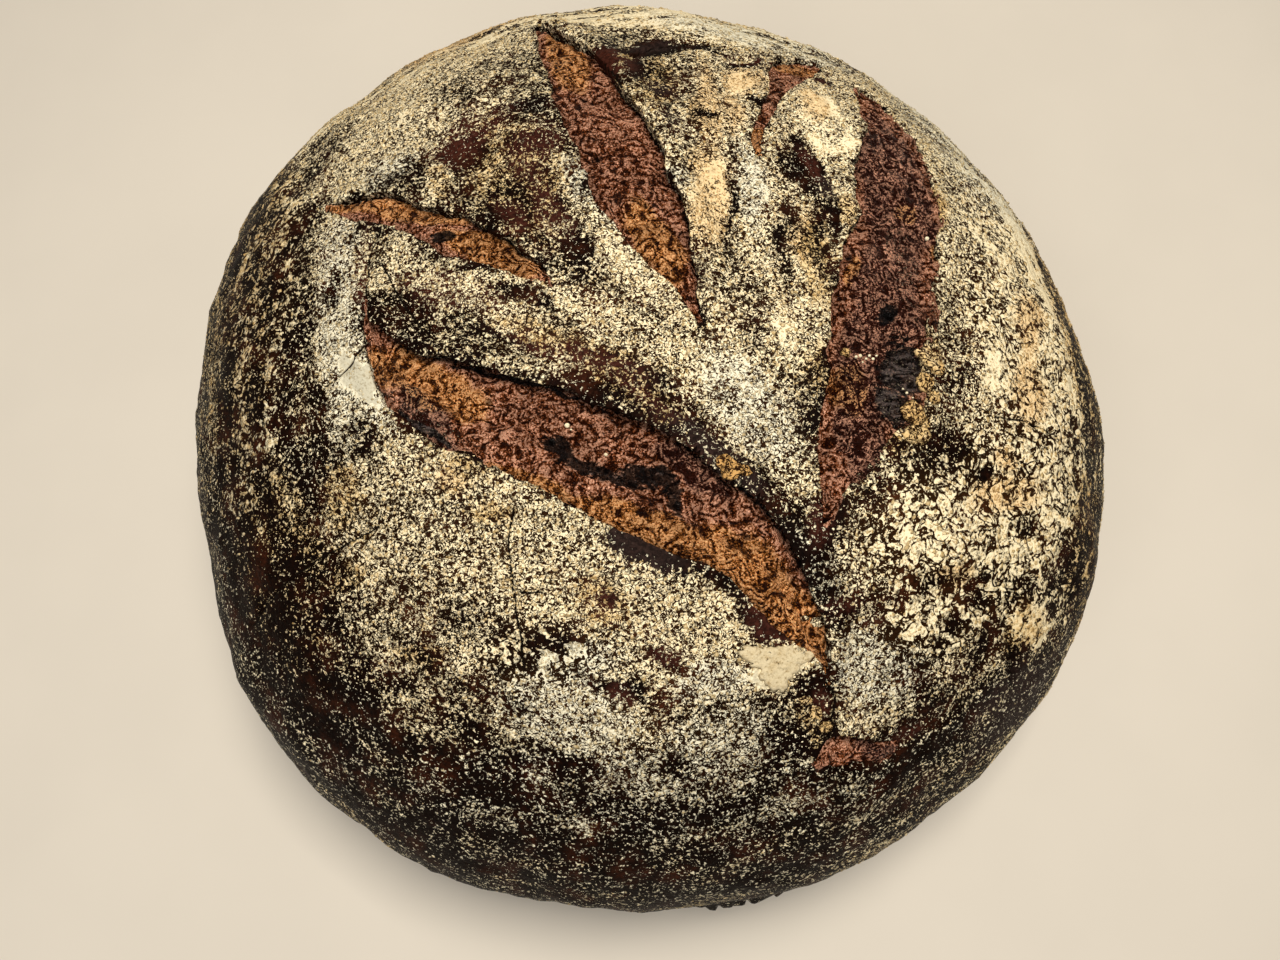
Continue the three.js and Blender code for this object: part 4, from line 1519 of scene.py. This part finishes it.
def crust_material(settings, flour):
    """Dark baked crust under flour: specks where the flour is thin, a cake with pits where it is thick."""
    material, shader, place = new_material("floured_crust")
    share, flaked, crack = readings(place, "flour", "flaked", "crack")
    proud = flour_cover(place, share, flaked, flour.grain / MM)
    unbroken = ramp(abs(crack), 0.08, 0.36)
    dust = ramp(noise(place, 0.58, 1.2) + ramp(share, 0.10, 0.45, 0.0, 0.035), 0.715, 0.73)
    covered = larger(ramp(proud, -0.006, 0.010), dust * ramp(share, 0.06, 0.30)) * unbroken
    crust = baked_colour(place, share, unbroken, settings)
    powder = powder_colour(place, share, proud, flour)
    looks = {
        "Base Color": mix_colours(covered, crust, powder),
        "Roughness": mix_values(covered, 0.5, 0.95),
        "Specular IOR Level": 0.03,
    }
    feed(shader, looks)
    relief(shader, ramp(proud, -0.03, 0.10) + noise(place, 0.8, 4.0, 0.65) * 0.7, 0.55)
    return material


def strand_height(place, strand):
    """How high the dough stands: from about 0 in its creases to about 1 on the backs of its strands."""
    level = noise(place, 1.7, 1.0, 0.5, 1.2)
    finer = abs(worked("SINE", level * (math.pi * 4.0)))
    fine = noise(place, 0.45, 3.0, 0.70, 0.5)
    height = ramp(strand, 0.0, 1.0, 0.06, 0.92) + ramp(fine, 0.3, 0.7, -0.62, 0.62)
    height = height + ramp(finer, 0.0, 0.6, -0.28, 0.06)
    return height + ramp(noise(place, 1.7, 3.0, 0.6), 0.3, 0.7, -0.24, 0.24)


def burst_colour(place, height, orange, purple, settings):
    """The colour of the dough that isn't burnt, with painted shade in its creases and a painted highlight
    on the backs of its strands, which is partly their own paler colour.
    """
    orange = ramp(orange + noise(place, 4.0), 0.7, 1.35)
    purple = ramp(purple + noise(place, 4.0), 0.65, 1.35)
    body = mix_colours(purple, mix_colours(orange, settings.brown, settings.orange), settings.purple)
    pale_strand_highlight = mix_colours(orange, settings.rosy_strand_highlight, settings.tan)
    # painted shade: the dark dough fills the creases between the strands
    colour = mix_colours(ramp(height, 0.24, 0.88), settings.dark, body)
    # painted highlight on the highest backs of the strands, partly the strands' own paler colour
    colour = mix_colours(ramp(height, 0.76, 1.10) * ramp(purple, 0.0, 1.0, 1.0, 0.75), colour, pale_strand_highlight)
    return scaled(colour, ramp(noise(place, 5.5, 3.0, 0.6), 0.32, 0.68, 1.06, 1.84))


def dough_material(settings):
    """Burst dough: curled strands with painted shade in the creases between them, burnt in places, with a
    soft gloss.
    """
    material, shader, place = new_material("burst_dough")
    strand, orange, purple = readings(place, "strand", "orange", "purple")
    scorched, ashy, lip_shade, pore_shade = readings(place, "scorched", "ashy", "lip_shade", "pore_shade")
    height = strand_height(place, strand)
    colour = burst_colour(place, height, orange, purple, settings)
    drawn = {"Vector": place, "Rotation": (0.0, 0.0, CHAR_TURN), "Scale": CHAR_STRETCH}
    fibres = noise(result(place.tree, "ShaderNodeMapping", drawn), 0.9, 4.0, 0.7, 0.4)
    charred = scorched * 1.5 - ramp(fibres, 0.36, 0.64) - height * 0.25
    ashen = ramp(fibres + ramp(ashy, 0.0, 1.0, -0.09, 0.02), 0.47, 0.64)
    burnt = mix_colours(ashen, settings.scorched, settings.ash)
    colour = mix_colours(ramp(charred, -0.35, 0.40, 0.0, 0.95), colour, burnt)
    specks = ramp(noise(place, 0.38, 1.0), 0.66, 0.70, 0.0, 0.8) * ashy
    colour = mix_colours(specks, colour, SPECK_COLOUR)
    looks = {
        # painted shade: dough near the crust's lips and in the open pores is darkened to the scorched
        # dough's colour
        "Base Color": mix_colours(larger(lip_shade * 0.6, pore_shade), colour, settings.scorched),
        "Roughness": ramp(noise(place, 0.9), 0.3, 0.7, 0.14, 0.38),
        "Specular IOR Level": 0.28,
    }
    feed(shader, looks)
    relief(shader, height + noise(place, 0.9, 3.0, 0.6) * 1.2, 0.7)
    return material


def grain_material(settings):
    """Grains and flakes of flour."""
    material, shader, place = new_material("flour_grains")
    (lightness,) = readings(place, "tone")
    speckle = noise(place, 0.6, 3.0, 0.6) + ramp(lightness, 0.0, 1.0, -0.1, 0.1)
    powder = shaded(flour_colour(place, settings), ramp(speckle, 0.30, 0.95), GRAIN_SHADE)
    powder = scaled(powder, ramp(lightness, 0.0, 1.0, 0.86, 1.04))
    feed(shader, {"Base Color": powder, "Roughness": 0.95, "Specular IOR Level": 0.15})
    relief(shader, noise(place, 0.3, 2.0), 0.08, 0.6)
    return material


def floor_material(settings):
    """A plain pale floor that varies very faintly."""
    material, shader, place = new_material("pale_floor")
    paler = [min(1.0, 1.03 * share) for share in settings.floor]
    tint = mix_colours(ramp(noise(place, 60.0), 0.3, 0.7), settings.floor, paler)
    feed(shader, {"Base Color": tint, "Roughness": 0.8})
    return material


# ---------------------------------------------------------------- stage

# The floor's half width and how far it lies below the loaf, in metres.
FLOOR_HALF = 2.5
FLOOR_DROP = 0.0002

# The lights: name, place, size, share of the key light's power, colour. Both face the loaf.
LIGHTS = (
    ("key", (0.05, 0.07, 0.68), 0.24, 1.0, (1.0, 0.96, 0.89)),
    ("fill", (-0.35, -0.65, 0.75), 0.7, 0.7, (0.95, 0.97, 1.0)),
)
LIT_POINT = (0.0, 0.0, 0.05)
SKY_COLOUR = (1.0, 0.97, 0.93, 1.0)
SKY_STRENGTH = 0.20


def build_stage(scene, settings):
    """A pale floor, a soft overhead light, a weak fill and the camera."""
    signs = ((-1, -1), (1, -1), (1, 1), (-1, 1))
    mesh = bpy.data.meshes.new("floor")
    corners = [(FLOOR_HALF * x, FLOOR_HALF * y, -FLOOR_DROP) for x, y in signs]
    mesh.from_pydata(corners, [], [(0, 1, 2, 3)])
    floor = bpy.data.objects.new("floor", mesh)
    floor.data.materials.append(floor_material(settings))
    scene.collection.objects.link(floor)
    for name, place, size, share, colour in LIGHTS:
        add_light(scene, name, place, size, settings.key_power * share, colour)
    world = bpy.data.worlds.new("studio")
    world.use_nodes = True
    sky = world.node_tree.nodes["Background"]
    sky.inputs["Color"].default_value = SKY_COLOUR
    sky.inputs["Strength"].default_value = SKY_STRENGTH
    scene.world = world
    add_camera(scene, settings)
    scene.view_settings.view_transform = "Standard"


def add_light(scene, name, place, size, power, colour):
    """A square area light that faces the loaf."""
    data = bpy.data.lights.new(name, "AREA")
    data.size = size
    data.energy = power
    data.color = colour
    light = bpy.data.objects.new(name, data)
    light.location = place
    light.rotation_euler = (Vector(LIT_POINT) - Vector(place)).to_track_quat("-Z", "Y").to_euler()
    scene.collection.objects.link(light)


# The point that the camera looks at, and the width of its sensor in millimetres.
AIM = (-1.7 * MM, -15.9 * MM, 45.0 * MM)
SENSOR_WIDTH = 36.0


def add_camera(scene, settings):
    """The camera, looking steeply down at the crown from close by."""
    data = bpy.data.cameras.new("camera")
    data.lens = settings.lens
    data.sensor_width = SENSOR_WIDTH
    camera = bpy.data.objects.new("camera", data)
    forward = Vector((0.0, math.cos(settings.elevation), -math.sin(settings.elevation)))
    camera.location = Vector(AIM) - forward * settings.distance
    camera.rotation_euler = (math.pi / 2.0 - settings.elevation, 0.0, 0.0)
    scene.collection.objects.link(camera)
    scene.camera = camera


# ---------------------------------------------------------------- operators


def score_lines():
    """Every score's line."""
    return [ScoreLine(name, 100 * (i + 1)) for i, name in enumerate(SCORES)]


class LOAF_OT_crust(bpy.types.Operator):
    """Build the floured crust"""

    bl_idname = "loaf.crust"
    bl_label = "Crust"

    def execute(self, context):
        crust = make_crust(context.scene.loaf_crust, score_lines())
        finish_piece(crust, crust_material(context.scene.loaf_crust, context.scene.loaf_flour))
        return {"FINISHED"}


class LOAF_OT_score_dough(bpy.types.Operator):
    """Build the burst dough inside each score"""

    bl_idname = "loaf.score_dough"
    bl_label = "Score Dough"

    def execute(self, context):
        material = dough_material(context.scene.loaf_dough)
        for line in score_lines():
            finish_piece(make_dough(line, context.scene.loaf_dough), material)
        return {"FINISHED"}


class LOAF_OT_flour(bpy.types.Operator):
    """Scatter the grains of flour over the crust"""

    bl_idname = "loaf.flour"
    bl_label = "Flour"

    def execute(self, context):
        settings = context.scene.loaf_flour
        crust = bpy.data.objects["crust"]
        material = grain_material(settings)
        tree = scatter_tree(material, settings.grain / MM)
        shares = grain_shares(crust.data)
        for i, (kind, facts) in enumerate(GRAIN_KINDS.items()):
            most = round(facts["most"] * settings.most)
            piece = lay_grains(kind, shares[kind], crust.data, tree, settings.seed + i, most)
            finish_piece(piece, material)
        dough = [bpy.data.objects[f"score_dough_{name}"] for name in SCORES]
        surface = surface_of([crust, *dough])
        caked = crust.data.materials[0]
        finish_piece(make_cakes(surface, settings.seed), caked)
        finish_piece(make_crumbs(surface, settings.seed), caked)
        return {"FINISHED"}


class LOAF_OT_stage(bpy.types.Operator):
    """Build the floor, the lights and the camera"""

    bl_idname = "loaf.stage"
    bl_label = "Stage"

    def execute(self, context):
        build_stage(context.scene, context.scene.loaf_stage)
        return {"FINISHED"}


class LOAF_PT_panel(bpy.types.Panel):
    """The loaf's pieces"""

    bl_idname = "LOAF_PT_panel"
    bl_label = "Sourdough Loaf"
    bl_space_type = "VIEW_3D"
    bl_region_type = "UI"
    bl_category = "Loaf"

    def draw(self, context):
        for operator in OPERATORS:
            self.layout.operator(operator.bl_idname)


OPERATORS = (LOAF_OT_crust, LOAF_OT_score_dough, LOAF_OT_flour, LOAF_OT_stage)
SETTINGS = {
    "loaf_crust": CrustSettings,
    "loaf_dough": DoughSettings,
    "loaf_flour": FlourSettings,
    "loaf_stage": StageSettings,
}


def register():
    """Adds the settings, the operators and the panel to Blender."""
    for name, group in SETTINGS.items():
        bpy.utils.register_class(group)
        setattr(bpy.types.Scene, name, PointerProperty(type=group))
    for operator in OPERATORS:
        bpy.utils.register_class(operator)
    bpy.utils.register_class(LOAF_PT_panel)


def unregister():
    """Takes them out again."""
    bpy.utils.unregister_class(LOAF_PT_panel)
    for operator in reversed(OPERATORS):
        bpy.utils.unregister_class(operator)
    for name, group in SETTINGS.items():
        delattr(bpy.types.Scene, name)
        bpy.utils.unregister_class(group)


def main():
    """Builds every piece and the stage."""
    register()
    bpy.ops.loaf.crust()
    bpy.ops.loaf.score_dough()
    bpy.ops.loaf.flour()
    bpy.ops.loaf.stage()


if __name__ == "__main__":
    main()
